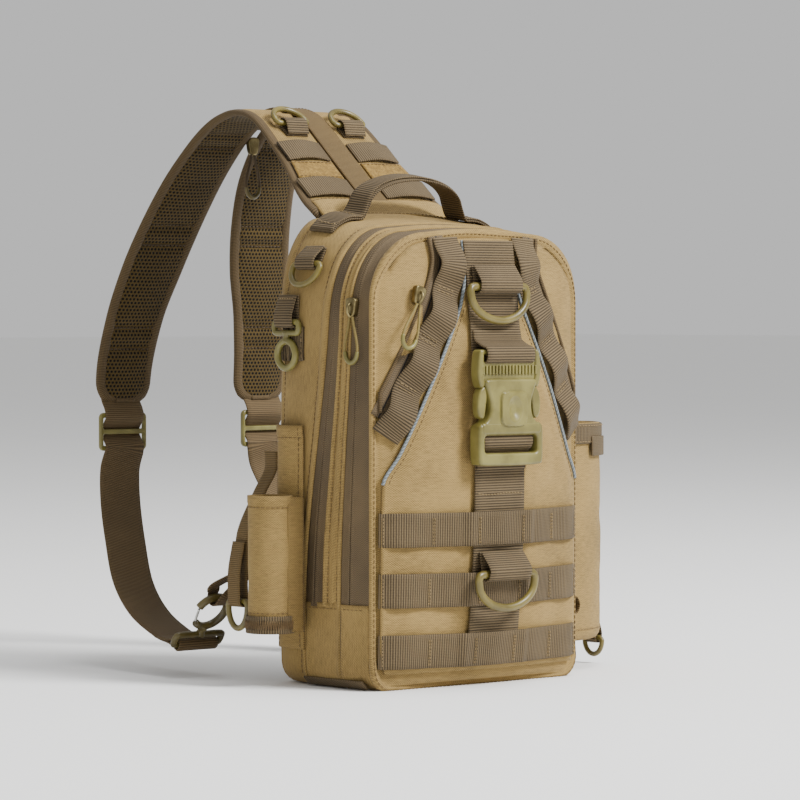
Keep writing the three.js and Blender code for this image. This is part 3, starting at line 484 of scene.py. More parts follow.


# zip tape: fine herringbone, with painted shade as a dark line in the groove down the closed coil's middle
def zipTapeFinish(name, light, dark, grooveShadeColour):
    f = Finish(name)
    _, u, v = f.flatMap()
    line = f.math("ABSOLUTE", u)
    # the coil's middle groove: sunk by the bump and painted dark as painted shade
    gap = f.ramp(line, 0.9, 0.35)
    zigzag = f.times(f.math("ABSOLUTE", f.math("PINGPONG", u, 2.2)), 0.9)
    bone = f.wave(f.math("ADD", zigzag, v), 1.6)
    teeth = f.times(f.wave(v, 1.5), f.ramp(line, 2.6, 1.6))
    patch = f.noise(20)
    shade = f.timesPlus(bone, 0.4, f.times(patch, 0.6))
    tape = f.mix(f.ramp(shade, 0.2, 0.9), dark, light)
    f.colour(f.mix(gap, tape, grooveShadeColour))
    f.gloss(f.timesPlus(patch, 0.1, 0.7))
    f.bump(f.timesPlus(teeth, 0.6, f.timesPlus(gap, -1.4, bone)), 0.5, 0.0005)
    return f.mat


# spacer mesh: rows of holes set like a honeycomb in brown yarn, the holes painted near black as painted shade
# in their depth
def spacerMesh(name, yarn, dark, pitch=3.4):
    f = Finish(name)
    _, u, v = f.flatMap()
    rows = f.math("DIVIDE", v, pitch * 0.86)
    odd = f.times(f.math("MODULO", f.math("ABSOLUTE", f.math("FLOOR", rows)), 2.0), 0.5)
    cellU = f.math("SUBTRACT", f.math("FRACT", f.math("ADD", f.math("DIVIDE", u, pitch), odd)), 0.5)
    cellV = f.math("SUBTRACT", f.math("FRACT", rows), 0.5)
    far = f.math("SQRT", f.math("ADD", f.times(cellU, cellU), f.times(cellV, cellV)))
    hole = f.ramp(far, 0.42, 0.25)
    yarnNoise = f.noise(700, 2)
    patch = f.noise(18, 2)
    shade = f.timesPlus(yarnNoise, 0.5, f.times(patch, 0.6))
    knit = f.mix(f.ramp(shade, 0.25, 0.85), [c * 0.62 for c in yarn[:3]] + [1], yarn)
    # holes take the near-black colour: painted shade
    f.colour(f.mix(hole, knit, dark))
    f.gloss(f.timesPlus(hole, 0.1, 0.8))
    f.bump(f.timesPlus(yarnNoise, 0.3, f.math("SUBTRACT", 1.0, hole)), 0.8, 0.0009)
    f.sheen(0.04)
    return f.mat


# the fuzzy loop half of a hook-and-loop patch
def loopPile(name, light, dark):
    f = Finish(name)
    fuzz = f.noise(650, 4, 0.7)
    curl = f.noise(260, 3, 0.6)
    shade = f.timesPlus(fuzz, 0.6, f.times(curl, 0.5))
    f.tone(shade, 0.35, 0.8, dark, light)
    f.gloss(f.timesPlus(curl, 0.1, 0.85))
    f.bump(shade, 0.9, 0.0008)
    f.sheen(0.15, 0.4)
    return f.mat


# moulded plastic: faint mottling, worn brighter patches and a satin surface
def mouldedPlastic(name, light, dark):
    f = Finish(name)
    mottle = f.noise(55, 4)
    pits = f.noise(1500, 2)
    f.tone(mottle, 0.3, 0.7, dark, light)
    f.gloss(f.timesPlus(mottle, 0.22, 0.24))
    f.bump(f.timesPlus(pits, 0.5, mottle), 0.12, 0.0004)
    return f.mat


def metalFinish(name, light, dark, low, high):
    f = Finish(name)
    streak = f.noise(120, 4)
    f.tone(streak, 0.3, 0.7, dark, light)
    f.bsdf.inputs["Metallic"].default_value = 1.0
    f.gloss(f.timesPlus(streak, high - low, low))
    f.bump(streak, 0.1, 0.0002)
    return f.mat


# braided or twisted yarn for cords, threads and piping
def twistedYarn(name, light, dark, pitch=2.2, gloss=0.6):
    f = Finish(name)
    _, u, v = f.flatMap()
    twist = f.wave(f.timesPlus(u, 1.3, v), pitch)
    fleck = f.noise(700, 2)
    f.tone(f.timesPlus(twist, 0.6, f.times(fleck, 0.5)), 0.2, 0.9, dark, light)
    f.gloss(f.timesPlus(fleck, 0.15, gloss))
    f.bump(twist, 0.5, 0.0004)
    return f.mat


coyote = wovenCloth("coyoteCloth", srgb(158, 131, 78), srgb(89, 71, 40))
# a darker copy of the coyote cloth for pieces between parts and inside pockets: painted shade
coyoteShadedCopy = wovenCloth("coyoteClothPaintedShade", srgb(139, 114, 66), srgb(78, 61, 33))
webbing = ribbedWebbing("brownWebbing", srgb(110, 93, 66), srgb(34, 27, 17))
strapWeb = ribbedWebbing("slingWebbing", srgb(108, 89, 60), srgb(58, 46, 29), 1.5, 0.4)
spineWeb = ribbedWebbing("spineWebbing", srgb(112, 91, 55), srgb(58, 45, 26), 1.4, 0.45)
binding = ribbedWebbing("edgeBinding", srgb(100, 82, 54), srgb(54, 43, 27), 1.3, 0.4)
# the last colour is painted shade for the groove down each zip's coil
mainTape = zipTapeFinish("mainZipTape", srgb(114, 94, 62), srgb(62, 49, 30), srgb(28, 22, 15))
# the second colour is painted shade for the mesh's holes
meshBrown = spacerMesh("brownSpacerMesh", srgb(88, 70, 33), srgb(12, 10, 4))
loopPatch = loopPile("sandLoopPatch", srgb(152, 122, 62), srgb(100, 77, 36))
olivePlastic = mouldedPlastic("olivePlastic", srgb(124, 116, 60), srgb(98, 90, 42))
ringOlive = mouldedPlastic("ringOlive", srgb(116, 103, 48), srgb(85, 74, 31))
darkOlive = mouldedPlastic("darkOlivePlastic", srgb(96, 84, 42), srgb(66, 57, 28))
steel = metalFinish("steelWire", srgb(225, 225, 220), srgb(170, 170, 165), 0.18, 0.34)
bronze = metalFinish("bronzeZip", srgb(146, 132, 92), srgb(100, 89, 60), 0.34, 0.45)
oliveCord = twistedYarn("oliveCord", srgb(142, 123, 62), srgb(88, 73, 32))
# dark cord for the strap's zip pull, also laid in the base fold and along the strap's quilting as painted
# shadow
darkCordAndPaintedShadow = twistedYarn("darkCordAndPaintedShadow", srgb(84, 66, 38), srgb(48, 37, 22))
piping = twistedYarn("greyPiping", srgb(134, 142, 144), srgb(84, 90, 92), 3.0, 0.4)
thread = twistedYarn("creamThread", srgb(172, 146, 98), srgb(118, 96, 60), 0.9)
brownThread = twistedYarn("brownThread", srgb(128, 100, 58), srgb(78, 59, 33), 0.9)
print("materials ready")


# zip pulls: the four cord loops, each with a moulded bow at its end
pull = dict(
    cord=1.0, bow=1.75, bowThin=0.72, bowFrom=0.34, bowTo=0.66, step=2.6,
    route=((-1.7, 0), (-2.1, 3), (-3, 7), (-4.2, 11), (-5.6, 16), (-6.6, 21), (-6.6, 26), (-4.8, 31),
           (0, 33.6)),
)
frontZipSide = 108.15
slashDown = mm(-0.35, 0, -0.94).normalized()
pullPlaces = dict(
    front_left=dict(eye=(-frontZipSide, -33.15, 272), across=yAxis, down=-zAxis, seat=4.2),
    front_right=dict(eye=(frontZipSide, -33.15, 272), across=-yAxis, down=-zAxis, seat=4.2),
    slash=dict(eye=(-72, -66.43, 281), across=mm(slashDown.z, 0, -slashDown.x), down=slashDown, seat=6.2),
    strap=dict(eye=(0, 207, 399), across=xAxis, down=-zAxis, seat=2.5),
)


def makePull(name, place):
    eye, across, down = Vector(place["eye"]), place["across"], place["down"]
    left = pull["route"]
    loop = list(left) + [(-a, d) for a, d in left[-2::-1]]
    path = curvePath([eye + across * a + down * d for a, d in loop], pull["step"])
    data = bpy.data.curves.new("pullCord_" + name, "CURVE")
    data.dimensions = "3D"
    addSpline(data, path)
    data.bevel_depth = pull["cord"] * mmScale
    data.bevel_resolution = 4
    dark = name == "strap"
    data.materials.append(darkCordAndPaintedShadow if dark else oliveCord)
    cord = addObject("pullCord_" + name, data)
    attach(cord, bag)
    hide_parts("zip_pull_" + name)
    first, last = (round(pull[end] * (len(path) - 1)) for end in ("bowFrom", "bowTo"))
    bowPath = curvePath(path[first:last + 1], 1.0)

    def swell(t):
        return pull["bow"] * lerp(pull["bowThin"], 1, math.sin(math.pi * clamp(t)) ** 0.5)

    bow = wirePiece("pullBow_" + name, bowPath, swell, across.cross(down).normalized(),
                    darkOlive if dark else olivePlastic, "plastic", sides=12)
    length = pathLengths(path)[-1] * mmScale


for pullName, pullPlace in pullPlaces.items():
    makePull(pullName, pullPlace)
print("zip pulls ready")


# bag body: depth y, half width, top, corner across, corner down, base
body = dict(
    sections=(
        (-47, 102, 335, 50, 50, 0), (-20, 106, 339, 50, 60, 0), (18, 107, 345, 48, 76, 0),
        (40, 106, 349, 44, 80, 0), (53, 101, 349, 38, 66, 0), (60, 93, 346, 34, 62, 3),
        (63, 84, 341, 32, 60, 8),
    ),
    front=-47, back=63, crown=3, bottomCorner=16, zipEnd=61, loopCount=220, bandCount=190, troughCount=110,
    lean=0.42, leanFrom=60, leanTo=300, rearEdge=18.3, floor=0.1,
    # where the sides' outward direction turns up
    straightTo=240, turnFrom=200, turnOver=140, turnAcross=0.012,
)


def halfWidth(y):
    return fromTable(body["sections"], y, 1)


def mirrored(p):
    return mm(-p.x, p.y, p.z)


# the seams of the sides lean forward with height, so the back compartment is widest at the top
def seamDepth(y, z):
    front, back, rearEdge = body["front"], body["back"], body["rearEdge"]
    if y <= front or y >= back:
        return y
    keep = 1 - body["lean"] * smooth(z, body["leanFrom"], body["leanTo"])
    if y <= rearEdge:
        return front + (y - front) * keep
    edge = front + (rearEdge - front) * keep
    return lerp(edge, back, (y - rearEdge) / (back - rearEdge))


def quarterTurn(x, z, across, up, start, steps):
    angles = [(start + i / steps) * math.pi / 2 for i in range(1, steps + 1)]
    return [(x + across * math.cos(a), z + up * math.sin(a)) for a in angles]


# right half of the bag's outline at a depth, from the middle of the base to the middle of the top
def halfOutline(y, inset):
    width, top, cornerX, cornerZ, base = (fromTable(body["sections"], y, c) for c in range(1, 6))
    width, base, top = width - inset, base + inset, top - inset
    rounding = body["bottomCorner"] - inset
    cornerX, cornerZ = cornerX - inset, cornerZ - inset
    flat = width - cornerX
    shoulder = top - body["crown"]
    half = [(x, base) for x in spread(0, width - rounding, 8)]
    half += quarterTurn(width - rounding, base + rounding, rounding, rounding, -1, 8)
    half += [(width, z) for z in spread(base + rounding, shoulder - cornerZ, 12)[1:]]
    half += quarterTurn(flat, shoulder - cornerZ, cornerX, cornerZ, 0, 16)
    half += [(flat * s, shoulder + body["crown"] * (1 - s * s)) for s in (0.8, 0.6, 0.4, 0.2, 0)]
    return half


# the same half along a seam
def halfSeam(y, inset):
    line = []
    for i, (_, z) in enumerate(halfOutline(y, inset)):
        depth = seamDepth(y, z)
        x, z = halfOutline(depth, inset)[i]
        line.append(mm(x, depth, z))
    return line


def outlineLoop(y, inset):
    half = halfSeam(y, inset)
    points = half + [mirrored(p) for p in half[-2:0:-1]] + half[:1]
    return evenPath(points, pathLengths(points)[-1] / body["loopCount"])[:body["loopCount"]]


# the outline above a height, from the right side over the top to the left side
def upperPath(y, inset, low):
    right = [p for p in halfSeam(y, inset) if p.z > low + 0.5]
    right.insert(0, mm(right[0].x, seamDepth(y, low), low))
    points = right + [mirrored(p) for p in right[-2::-1]]
    return evenPath(points, pathLengths(points)[-1] / (body["bandCount"] - 1))


# the outline below a height, from the left side under the base to the right side
def lowerPath(y, inset, high):
    right = [p for p in halfSeam(y, inset) if p.z < high - 0.5]
    right.append(mm(right[-1].x, seamDepth(y, high), high))
    points = [mirrored(p) for p in right[:0:-1]] + right
    return evenPath(points, pathLengths(points)[-1] / (body["troughCount"] - 1))


def sideNormal(p):
    if p.z < body["straightTo"]:
        return mm(math.copysign(1, p.x), 0, 0)
    return mm(p.x * body["turnAcross"], 0, (p.z - body["turnFrom"]) / body["turnOver"]).normalized()


def aboveFloor(p):
    return mm(p.x, p.y, max(p.z, body["floor"]))


rumples = dict(half=(107, 90, 175), middle=170, fadeRows=3)


# cloth rumples: soft dents that fade out near the seams
def rumple(rows, amount, size, seed):
    halfX, halfY, halfZ = rumples["half"]
    last = len(rows) - 1
    out = []
    for i, row in enumerate(rows):
        fade = clamp(min(i, last - i) / rumples["fadeRows"])
        new = []
        for p in row:
            n = mm(p.x / halfX, p.y / halfY, (p.z - rumples["middle"]) / halfZ).normalized()
            new.append(p + n * amount * fade * dents(p, (size, seed), (size * 0.4, seed + 5), 0.4))
        out.append(new)
    return out


rear = dict(
    # depth and how far the cloth stands out there: rolled edge, stitch line, seam, the round to the back
    profile=((18.3, -0.8), (18.4, 0.9), (19.6, 1.9), (21.4, 1.7), (22.8, 0.5), (23.8, -0.5), (25.4, 0.1),
             (29, 0.5), (34, 0.5), (39, 0.4), (44, 0.2), (48, 0.1), (50.4, 0), (51.6, -0.7), (52.6, 0.1),
             (54.5, 0.3), (57, 0.2), (59, 0.1), (60.5, 0), (62, 0), (63, 0), (63.2, -4)),
    rumple=(1.6, 60, 3), thick=2.4, seams=((23.8, 0.4, 8), (50.2, 0.0, 30)),
)


def makeRearShell():
    rows = [outlineLoop(y, -out) for y, out in rear["profile"]]
    rows = [[aboveFloor(p) for p in row] for row in rumple(rows, *rear["rumple"])]
    sheetPiece("rearShell", rows, rear["thick"], coyote, "rear_shell", closed=True, flip=True)
    for seam in rear["seams"]:
        stitchLine("seams", upperPath(*seam), sideNormal)


# padded back panel: spacer mesh sewn in cross channels, inside a bound edge
back = dict(rise=2.2, channels=(78, 150, 222, 290), edge=5, groove=4, y=63.3, rows=84, columns=46, fade=14,
            leastHalf=12, bindInset=3.5, bindWire=2.3, seamY=63.9, seamHalf=78)


def halfWidthAt(loop, z):
    best = 0
    for a, b in zip(loop, loop[1:] + loop[:1]):
        if (a.z - z) * (b.z - z) <= 0 and abs(a.z - b.z) > 1e-6:
            best = max(best, abs(lerp(a.x, b.x, (z - a.z) / (b.z - a.z))))
    return best


def makeBackPanel():
    loop = outlineLoop(body["back"], back["edge"])
    low, high = min(p.z for p in loop), max(p.z for p in loop)
    rows = []
    for z in spread(low + 0.6, high - 0.6, back["rows"]):
        half = max(back["leastHalf"], halfWidthAt(loop, z))
        row = []
        for s in spread(-1, 1, back["columns"]):
            pad = back["rise"] * (1 - s ** 6) * smooth(min(z - low, high - z), 0, back["fade"])
            for c in back["channels"]:
                pad *= smooth(abs(z - c), 0.6, back["groove"] * 1.6) * 0.85 + 0.15
            row.append(mm(s * half, back["y"] + pad, z))
        rows.append(row)
    sheetPiece("backPanel", rows, 1.6, meshBrown, flip=True, mapOf=lambda p: (p.x, p.z))
    edge = [p + yAxis * 0.2 for p in outlineLoop(body["back"], back["bindInset"])[::3]]
    bound = curvePath(edge, 3.0, closed=True)
    wirePiece("backBinding", bound, back["bindWire"], yAxis, binding, "webbing", closed=True, sides=10)
    for c in back["channels"]:
        across = spread(-back["seamHalf"], back["seamHalf"], 40)
        stitchLine("seams", [mm(x, back["seamY"], c) for x in across], yAxis)


# zip bands: tape set below the cloth edges, with the closed coil standing a little proud of it
zips = dict(
    main=dict(back=18.2, front=-0.6, coil=8.8, node="main_zipper"),
    front=dict(back=-19.4, front=-46.9, coil=-28.6, node="front_zipper"),
)
zipBand = dict(coilDepths=(4.2, 2.4, 1.2, 0.5, 0, -0.5, -1.2, -2.4, -4.2), edge=1.6, sink=1.2, proud=0.9,
               coilBand=(3.6, 1.4), gapBand=(0.9, 0.2), thick=1.4, seamIn=2.6, seam=(2.2, 1.0, 0.28))


def makeZip(name, z):
    coil, edge = z["coil"], zipBand["edge"]
    depths = [z["back"], z["back"] - edge] + [coil + d for d in zipBand["coilDepths"]]
    depths += [lerp(coil + zipBand["coilDepths"][-1], z["front"] + edge, t) for t in (0.4, 0.8)]
    depths += [z["front"] + edge, z["front"]]
    rows = []
    for y in depths:
        near = abs(y - coil)
        rise = smooth(near, *zipBand["coilBand"]) - smooth(near, *zipBand["gapBand"])
        rows.append(upperPath(y, zipBand["sink"] - zipBand["proud"] * rise, body["zipEnd"] - 1.5))
    rows = list(map(list, zip(*rows)))
    where = {}
    for row, run in zip(rows, pathLengths([row[len(row) // 2] for row in rows])):
        for p, y in zip(row, depths):
            where[tuple(p)] = (coil - y, run)
    sheetPiece(name, rows, zipBand["thick"], mainTape, z["node"], mapOf=lambda p: where[tuple(p)])
    for y in (z["back"] - zipBand["seamIn"], z["front"] + zipBand["seamIn"]):
        stitchLine("zipSeams", upperPath(y, 1.0, body["zipEnd"] + 1), sideNormal, *zipBand["seam"])


middle = dict(
    profile=((-0.6, -0.8), (-0.6, 0.8), (-1.6, 1.6), (-3.4, 1.4), (-4.6, 0.2), (-5.4, -0.4), (-6.6, 0.2),
             (-10, 0.8), (-13.4, 0.2), (-14.6, -0.4), (-15.4, 0.2), (-16.6, 1.4), (-18.4, 1.6), (-19.4, 0.8),
             (-19.4, -0.8)),
    trough=((18.2, 0.2), (17.4, 0.9), (15.6, 0.9), (14, 0.3), (6, 0.6), (-4, 0.9), (-12, 0.7), (-17.4, 0.4),
            (-18.4, 1.3), (-19.6, -1.6), (-20.8, 1.3), (-23, 0.5), (-30, 0.8), (-38, 0.8), (-43, 0.5),
            (-45.6, 0.9), (-46.8, 0.2)),
    thick=2.0, gussetRumple=(0.9, 40, 8), troughRumple=(1.0, 45, 12), seams=(-5.2, -14.8), flare=(54, 62),
    fold=-19.6, strapX=103.4, strapZ=4.2, strapFrom=-43, strapTo=22, strapWidth=8.4,
    tab=((103, -46, 59), (106.4, -47, 58.4), (108.4, -47.4, 53), (106.4, -47, 47.6), (103, -46, 47)),
    tabWidth=6, edgeSeams=((15.4, -17.6), (-21.6, -44.4)),
)


def makeMiddle():
    zipEnd = body["zipEnd"]
    rows = [upperPath(y, -out, zipEnd - 1) for y, out in middle["profile"]]
    sheetPiece("middleGusset", rumple(rows, *middle["gussetRumple"]), middle["thick"], coyote)
    trough = []
    for y, out in middle["trough"]:
        row = lowerPath(y, -out, zipEnd + 1.2)
        trough.append([p + xAxis * math.copysign(0.5 * smooth(p.z, *middle["flare"]), p.x) for p in row])
    trough = [[aboveFloor(p) for p in row] for row in rumple(trough, *middle["troughRumple"])]
    sheetPiece("baseTrough", trough, middle["thick"], coyote, "mid_shell")
    for y in middle["seams"]:
        stitchLine("seams", upperPath(y, 0.05, zipEnd), sideNormal)
    # a thin dark cord in the fold of the base stands for the shadow there: painted shadow, no part of the bag
    fold = [aboveFloor(p + zAxis * 0.6) for p in lowerPath(middle["fold"], 0.1, zipEnd)]
    wirePiece("baseFoldShadowLine", fold, 0.6, yAxis, darkCordAndPaintedShadow, "webbing", sides=8)
    depths = spread(middle["strapFrom"], middle["strapTo"], 30)
    left = [mm(-middle["strapX"], y, middle["strapZ"]) for y in depths]
    webbingPiece("baseStrap", left, middle["strapWidth"], 1.4, mm(1, 0, -1).normalized(), webbing)
    webbingPiece("seamTab", curvePath(middle["tab"], 1.0), middle["tabWidth"], 1.2, yAxis, spineWeb)
    for side, _ in leftRight:
        for y0, y1 in middle["edgeSeams"]:
            edge = [mm(side * (halfWidth(y) + 1.2), y, zipEnd - 2.4) for y in spread(y0, y1, 14)]
            stitchLine("seams", edge, xAxis * side)


makeRearShell()
makeBackPanel()
for zipName, zipSizes in zips.items():
    makeZip(zipName + "ZipBand", zipSizes)
makeMiddle()
print("bag body ready")


# front wall: fullest at a height, falling off to its ends
front = dict(edge=-49, bulge=22, spread=104, fullest=160, toTop=175, topLoss=0.65, toBase=160, baseLoss=0.55,
             centre=165)


def frontY(x, z):
    above = z > front["fullest"]
    reach = front["toTop"] if above else front["toBase"]
    loss = front["topLoss"] if above else front["baseLoss"]
    full = 1 - loss * ((z - front["fullest"]) / reach) ** 2
    return front["edge"] - front["bulge"] * full * (1 - (x / front["spread"]) ** 2)


def onFront(x, z, out):
    return mm(x, frontY(x, z) - out, z)


def frontNormal(p):
    slopeX = (frontY(p.x + 1, p.z) - frontY(p.x - 1, p.z)) / 2
    slopeZ = (frontY(p.x, p.z + 1) - frontY(p.x, p.z - 1)) / 2
    return mm(slopeX, -1, slopeZ).normalized()


def flatFront(p):
    return (p.x, p.z)


wall = dict(
    # inset of the edge and its depth, then how much of the outline each inner ring keeps
    lip=((0.6, -46.6), (-1.2, -47.0), (-2.0, -48.4), (-1.6, -50.0), (0.2, -51.0), (2.2, -50.8), (3.4, -49.8)),
    rings=(1, 0.965, 0.92, 0.86, 0.79, 0.71, 0.62, 0.52, 0.42, 0.31, 0.2, 0.09),
    inset=5, thick=1.8, hood=3.4, hoodWave=0.6, hoodLength=9, hoodRows=(0.5, 3), drop=4.5, dropWave=0.2,
    dropLength=11, dropRows=(3, 5), foot=1.2, topBand=(285, 325), footBand=(26, 12),
    dents=1.4, wide=(38, 2), fine=(15, 6), puff=2.4, puffFrom=(190, 270), puffTo=(290, 325),
    puffAcross=(45, 70),
)


def makeFrontWall():
    rows = []
    for k, (inset, y) in enumerate(wall["lip"]):
        outer, inner = outlineLoop(body["front"], inset), outlineLoop(body["front"], inset + wall["drop"])
        ring = []
        for p, q in zip(outer, inner):
            top, foot = smooth(p.z, *wall["topBand"]), smooth(p.z, *wall["footBand"])
            hang = top * (1 + wall["dropWave"] * (math.sin(p.x / wall["dropLength"]) - 1))
            wave = wall["hoodWave"] * math.sin(p.x / wall["hoodLength"])
            forward = top * (wall["hood"] + wave) + wall["foot"] * foot
            spot = p.lerp(q, hang * smooth(k, *wall["dropRows"]))
            ring.append(aboveFloor(mm(spot.x, y - forward * smooth(k, *wall["hoodRows"]), spot.z)))
        rows.append(ring)
    edge = outlineLoop(body["front"], wall["inset"])
    for scale in wall["rings"]:
        ring = []
        for p in edge:
            x, z = p.x * scale, front["centre"] + (p.z - front["centre"]) * scale
            dent = wall["dents"] * dents((x, 0, z), wall["wide"], wall["fine"]) * clamp((1 - scale) * 6)
            puff = wall["puff"] * smooth(z, *wall["puffFrom"]) * (1 - smooth(z, *wall["puffTo"]))
            puff *= smooth(abs(x), *wall["puffAcross"]) * clamp((1 - scale) * 9)
            ring.append(onFront(x, z, dent * 0.4 + puff))
        rows.append(ring)
    sheetPiece("frontWall", rows, wall["thick"], coyote, "front_shell", closed=True, mapOf=flatFront)
    stitchLine("seams", [p - yAxis * 0.1 for p in rows[4]], -yAxis)


pocket = dict(
    # height and half width
    edge=((12, 94), (30, 98), (90, 98), (148, 97), (172, 84), (226, 57), (264, 38), (284, 29), (306, 24),
          (327, 24)),
    out=3.2, thick=1.8, columns=72, rows=92, base=12, top=327, pipeFrom=150, pipe=1.3, seamIn=4, seamTo=322,
    nearEdge=14, puff=3.0, puffFrom=(136, 170), puffTo=(235, 285), puffAcross=(30, 52),
    rowPuff=0.5, rowPuffFrom=(13, 20), rowPuffAcross=(26, 34), fold=0.7, foldFrom=(12.5, 17),
    foldTo=(126, 150), dents=1.2, dentAcross=(27, 40), wide=(34, 4), fine=(12, 9), calmBelow=135, calm=0.35,
)
rowHeights = (117, 73, 28.5)


def pocketEdge(z):
    return fromTable(pocket["edge"], z, 1)


# the pocket's cloth: puffed above the rows, gathered in folds between them
def pocketFace(x, z):
    reach = abs(x)
    near = smooth(pocketEdge(z) - reach, 0, pocket["nearEdge"])
    between = min(abs(z - h) for h in rowHeights)
    puff = pocket["puff"] * smooth(z, *pocket["puffFrom"]) * (1 - smooth(z, *pocket["puffTo"]))
    puff *= smooth(reach, *pocket["puffAcross"])
    rowPuff = pocket["rowPuff"] * smooth(between, *pocket["rowPuffFrom"])
    puff += rowPuff * smooth(reach, *pocket["rowPuffAcross"])
    fold = pocket["fold"] * math.sin((x * 0.8 + z * 0.35) / 7.5) * smooth(between, *pocket["foldFrom"])
    fold *= 1 - smooth(z, *pocket["foldTo"])
    dent = pocket["dents"] * dents((x, 0, z), pocket["wide"], pocket["fine"])
    dent *= smooth(reach, *pocket["dentAcross"]) * near
    calm = 1 if z > pocket["calmBelow"] else pocket["calm"]
    return onFront(x, z, pocket["out"] + (puff + (dent + fold) * calm) * near)


def makePocket():
    rows = []
    for z in spread(pocket["base"], pocket["top"], pocket["rows"]):
        half = pocketEdge(z)
        rows.append([pocketFace(s * half, z) for s in spread(-1, 1, pocket["columns"])])
    sheetPiece("frontPocket", rows, pocket["thick"], coyote, "front_pocket", mapOf=flatFront)
    for side, end in leftRight:
        line = []
        for z in spread(pocket["pipeFrom"], pocket["top"] + 1, 40):
            line.append(onFront(side * (pocketEdge(z) + 0.6), z, pocket["out"] + 0.6))
        wirePiece("pipe_" + end, curvePath(line, 2.0), pocket["pipe"], yAxis, piping, "cloth", sides=10)
        heights = spread(pocket["pipeFrom"], pocket["seamTo"], 60)
        seam = [pocketFace(side * (pocketEdge(z) - pocket["seamIn"]), z) for z in heights]
        stitchLine("seams", seam, frontNormal)


slash = dict(
    route=((39, 330), (38.5, 309), (46.5, 281), (72, 230), (95, 185)), width=23, pitch=40, arch=6.5,
    zip=((47, 331), (45.5, 310), (58, 279), (84, 228), (99, 199)), zipWidth=13, thick=1.6, out=1.3,
    welt=7.2, weltWire=1.5, weltOut=2.2, weltHalf=98, tackHalf=9, tackGap=1.6,
)


# along each slash zip: dark tape under a welt, and a ladder of webbing tacked over it
def makeSlash(side, end):
    tapeLine = curvePath([mm(side * x, 0, z) for x, z in slash["zip"]], 3.0)
    tape = [onFront(p.x, p.z, slash["out"]) for p in tapeLine]
    webbingPiece("slashZip_" + end, tape, slash["zipWidth"], 0.8, frontNormal, mainTape)
    welt = []
    for p, a in zip(tapeLine, tangents(tapeLine)):
        n = mm(-a.z, 0, a.x)
        n = n if n.x * side > 0 else -n
        x = clamp(p.x + n.x * slash["welt"], -slash["weltHalf"], slash["weltHalf"])
        welt.append(onFront(x, p.z + n.z * slash["welt"], slash["weltOut"]))
    wirePiece("slashWelt_" + end, curvePath(welt, 2.0), slash["weltWire"], yAxis, binding, "webbing",
              sides=10)
    route = curvePath([mm(side * x, 0, z) for x, z in slash["route"]], 1.6)
    runs = pathLengths(route)
    half = slash["thick"] / 2
    ladder = []
    for p, run in zip(route, runs):
        arch = slash["arch"] * math.sin(math.pi * run / slash["pitch"]) ** 2
        ladder.append(onFront(p.x, p.z, slash["out"] + arch + half + 0.5 * smooth(run, 0, 20)))
    webbingPiece("slashWebbing_" + end, ladder, slash["width"], slash["thick"], frontNormal, webbing,
                 "slash_webbing_" + end)
    alongs = tangents(ladder)
    for k in range(1, int(runs[-1] / slash["pitch"]) + 1):
        i = min(range(len(runs)), key=lambda j: abs(runs[j] - k * slash["pitch"]))
        n = frontNormal(ladder[i])
        across = n.cross(alongs[i]).normalized() * slash["tackHalf"]
        for off in (-slash["tackGap"], slash["tackGap"]):
            spot = ladder[i] + n * (half + 0.25) + alongs[i] * off
            stitchLine("tacks", [spot - across, spot + across], n)


rowWeb = dict(width=25, halfLength=99, thick=1.6, pitch=40, arch=1.6, onCloth=4.2, onWebbing=6.4,
              overHalf=37, overBand=9, sag=0.8, firstSag=0.4, tuck=3.0, tuckFrom=88, tacks=(-60, -20, 20, 60),
              tackHalf=11.2, tackGap=0.7, tackDrift=1.5, thread=(2.0, 0.5, 0.3), endHalf=11, endIn=2.2,
              endSink=2.2)


def makeRow(index, height):
    end, thick = rowWeb["halfLength"], rowWeb["thick"]
    path = []
    for x in spread(-end, end, 150):
        over = smooth(rowWeb["overHalf"] - abs(x), 0, rowWeb["overBand"])
        arch = rowWeb["arch"] * math.cos(math.pi * x / rowWeb["pitch"]) ** 2
        flatten = (frontY(x, height) - frontY(0, height)) * over
        sag = rowWeb["sag"] * math.cos(math.pi * x / (2 * end)) * (1 if index else rowWeb["firstSag"])
        tuck = rowWeb["tuck"] * smooth(abs(x), rowWeb["tuckFrom"], end)
        out = lerp(rowWeb["onCloth"], rowWeb["onWebbing"], over) + arch + flatten + thick / 2 - tuck
        path.append(onFront(x, height - sag, out))
    webbingPiece("webbingRow_%d" % (index + 1), path, rowWeb["width"], thick, frontNormal, webbing,
                 "molle_row_%d" % (index + 1), columns=8)
    for x in rowWeb["tacks"]:
        drift = rowWeb["tackDrift"] * math.sin(index * 2 + x)
        near = min(path, key=lambda p: abs(p.x - x - drift))
        n = frontNormal(near)
        up = (zAxis - n * n.z).normalized() * rowWeb["tackHalf"]
        spot = near + n * (thick / 2 + 0.2)
        for off in (-rowWeb["tackGap"], rowWeb["tackGap"]):
            stitchLine("tacks", [spot - up + xAxis * off, spot + up + xAxis * off], n, *rowWeb["thread"])
    for side, _ in leftRight:
        out = rowWeb["onCloth"] + thick - rowWeb["endSink"]
        spot = onFront(side * (end - rowWeb["endIn"]), height, out)
        up = zAxis * rowWeb["endHalf"]
        stitchLine("tacks", [spot - up, spot + up], frontNormal(spot), *rowWeb["thread"][:2])


makeFrontWall()
makePocket()
for sideSign, sideName in leftRight:
    makeSlash(sideSign, sideName)
for rowIndex, rowHeight in enumerate(rowHeights):
    makeRow(rowIndex, rowHeight)
print("front ready")


# centre webbing: a wide strip above the buckle and one below it
centre = dict(width=50, thick=1.6, out=4.0, tacks=(301.5, 257, 142), tackHalf=23,
              strips=(("centreWebbingTop", 328, 244, "center_webbing_top"),
                      ("centreWebbingLow", 176, 17, "center_webbing_low")))


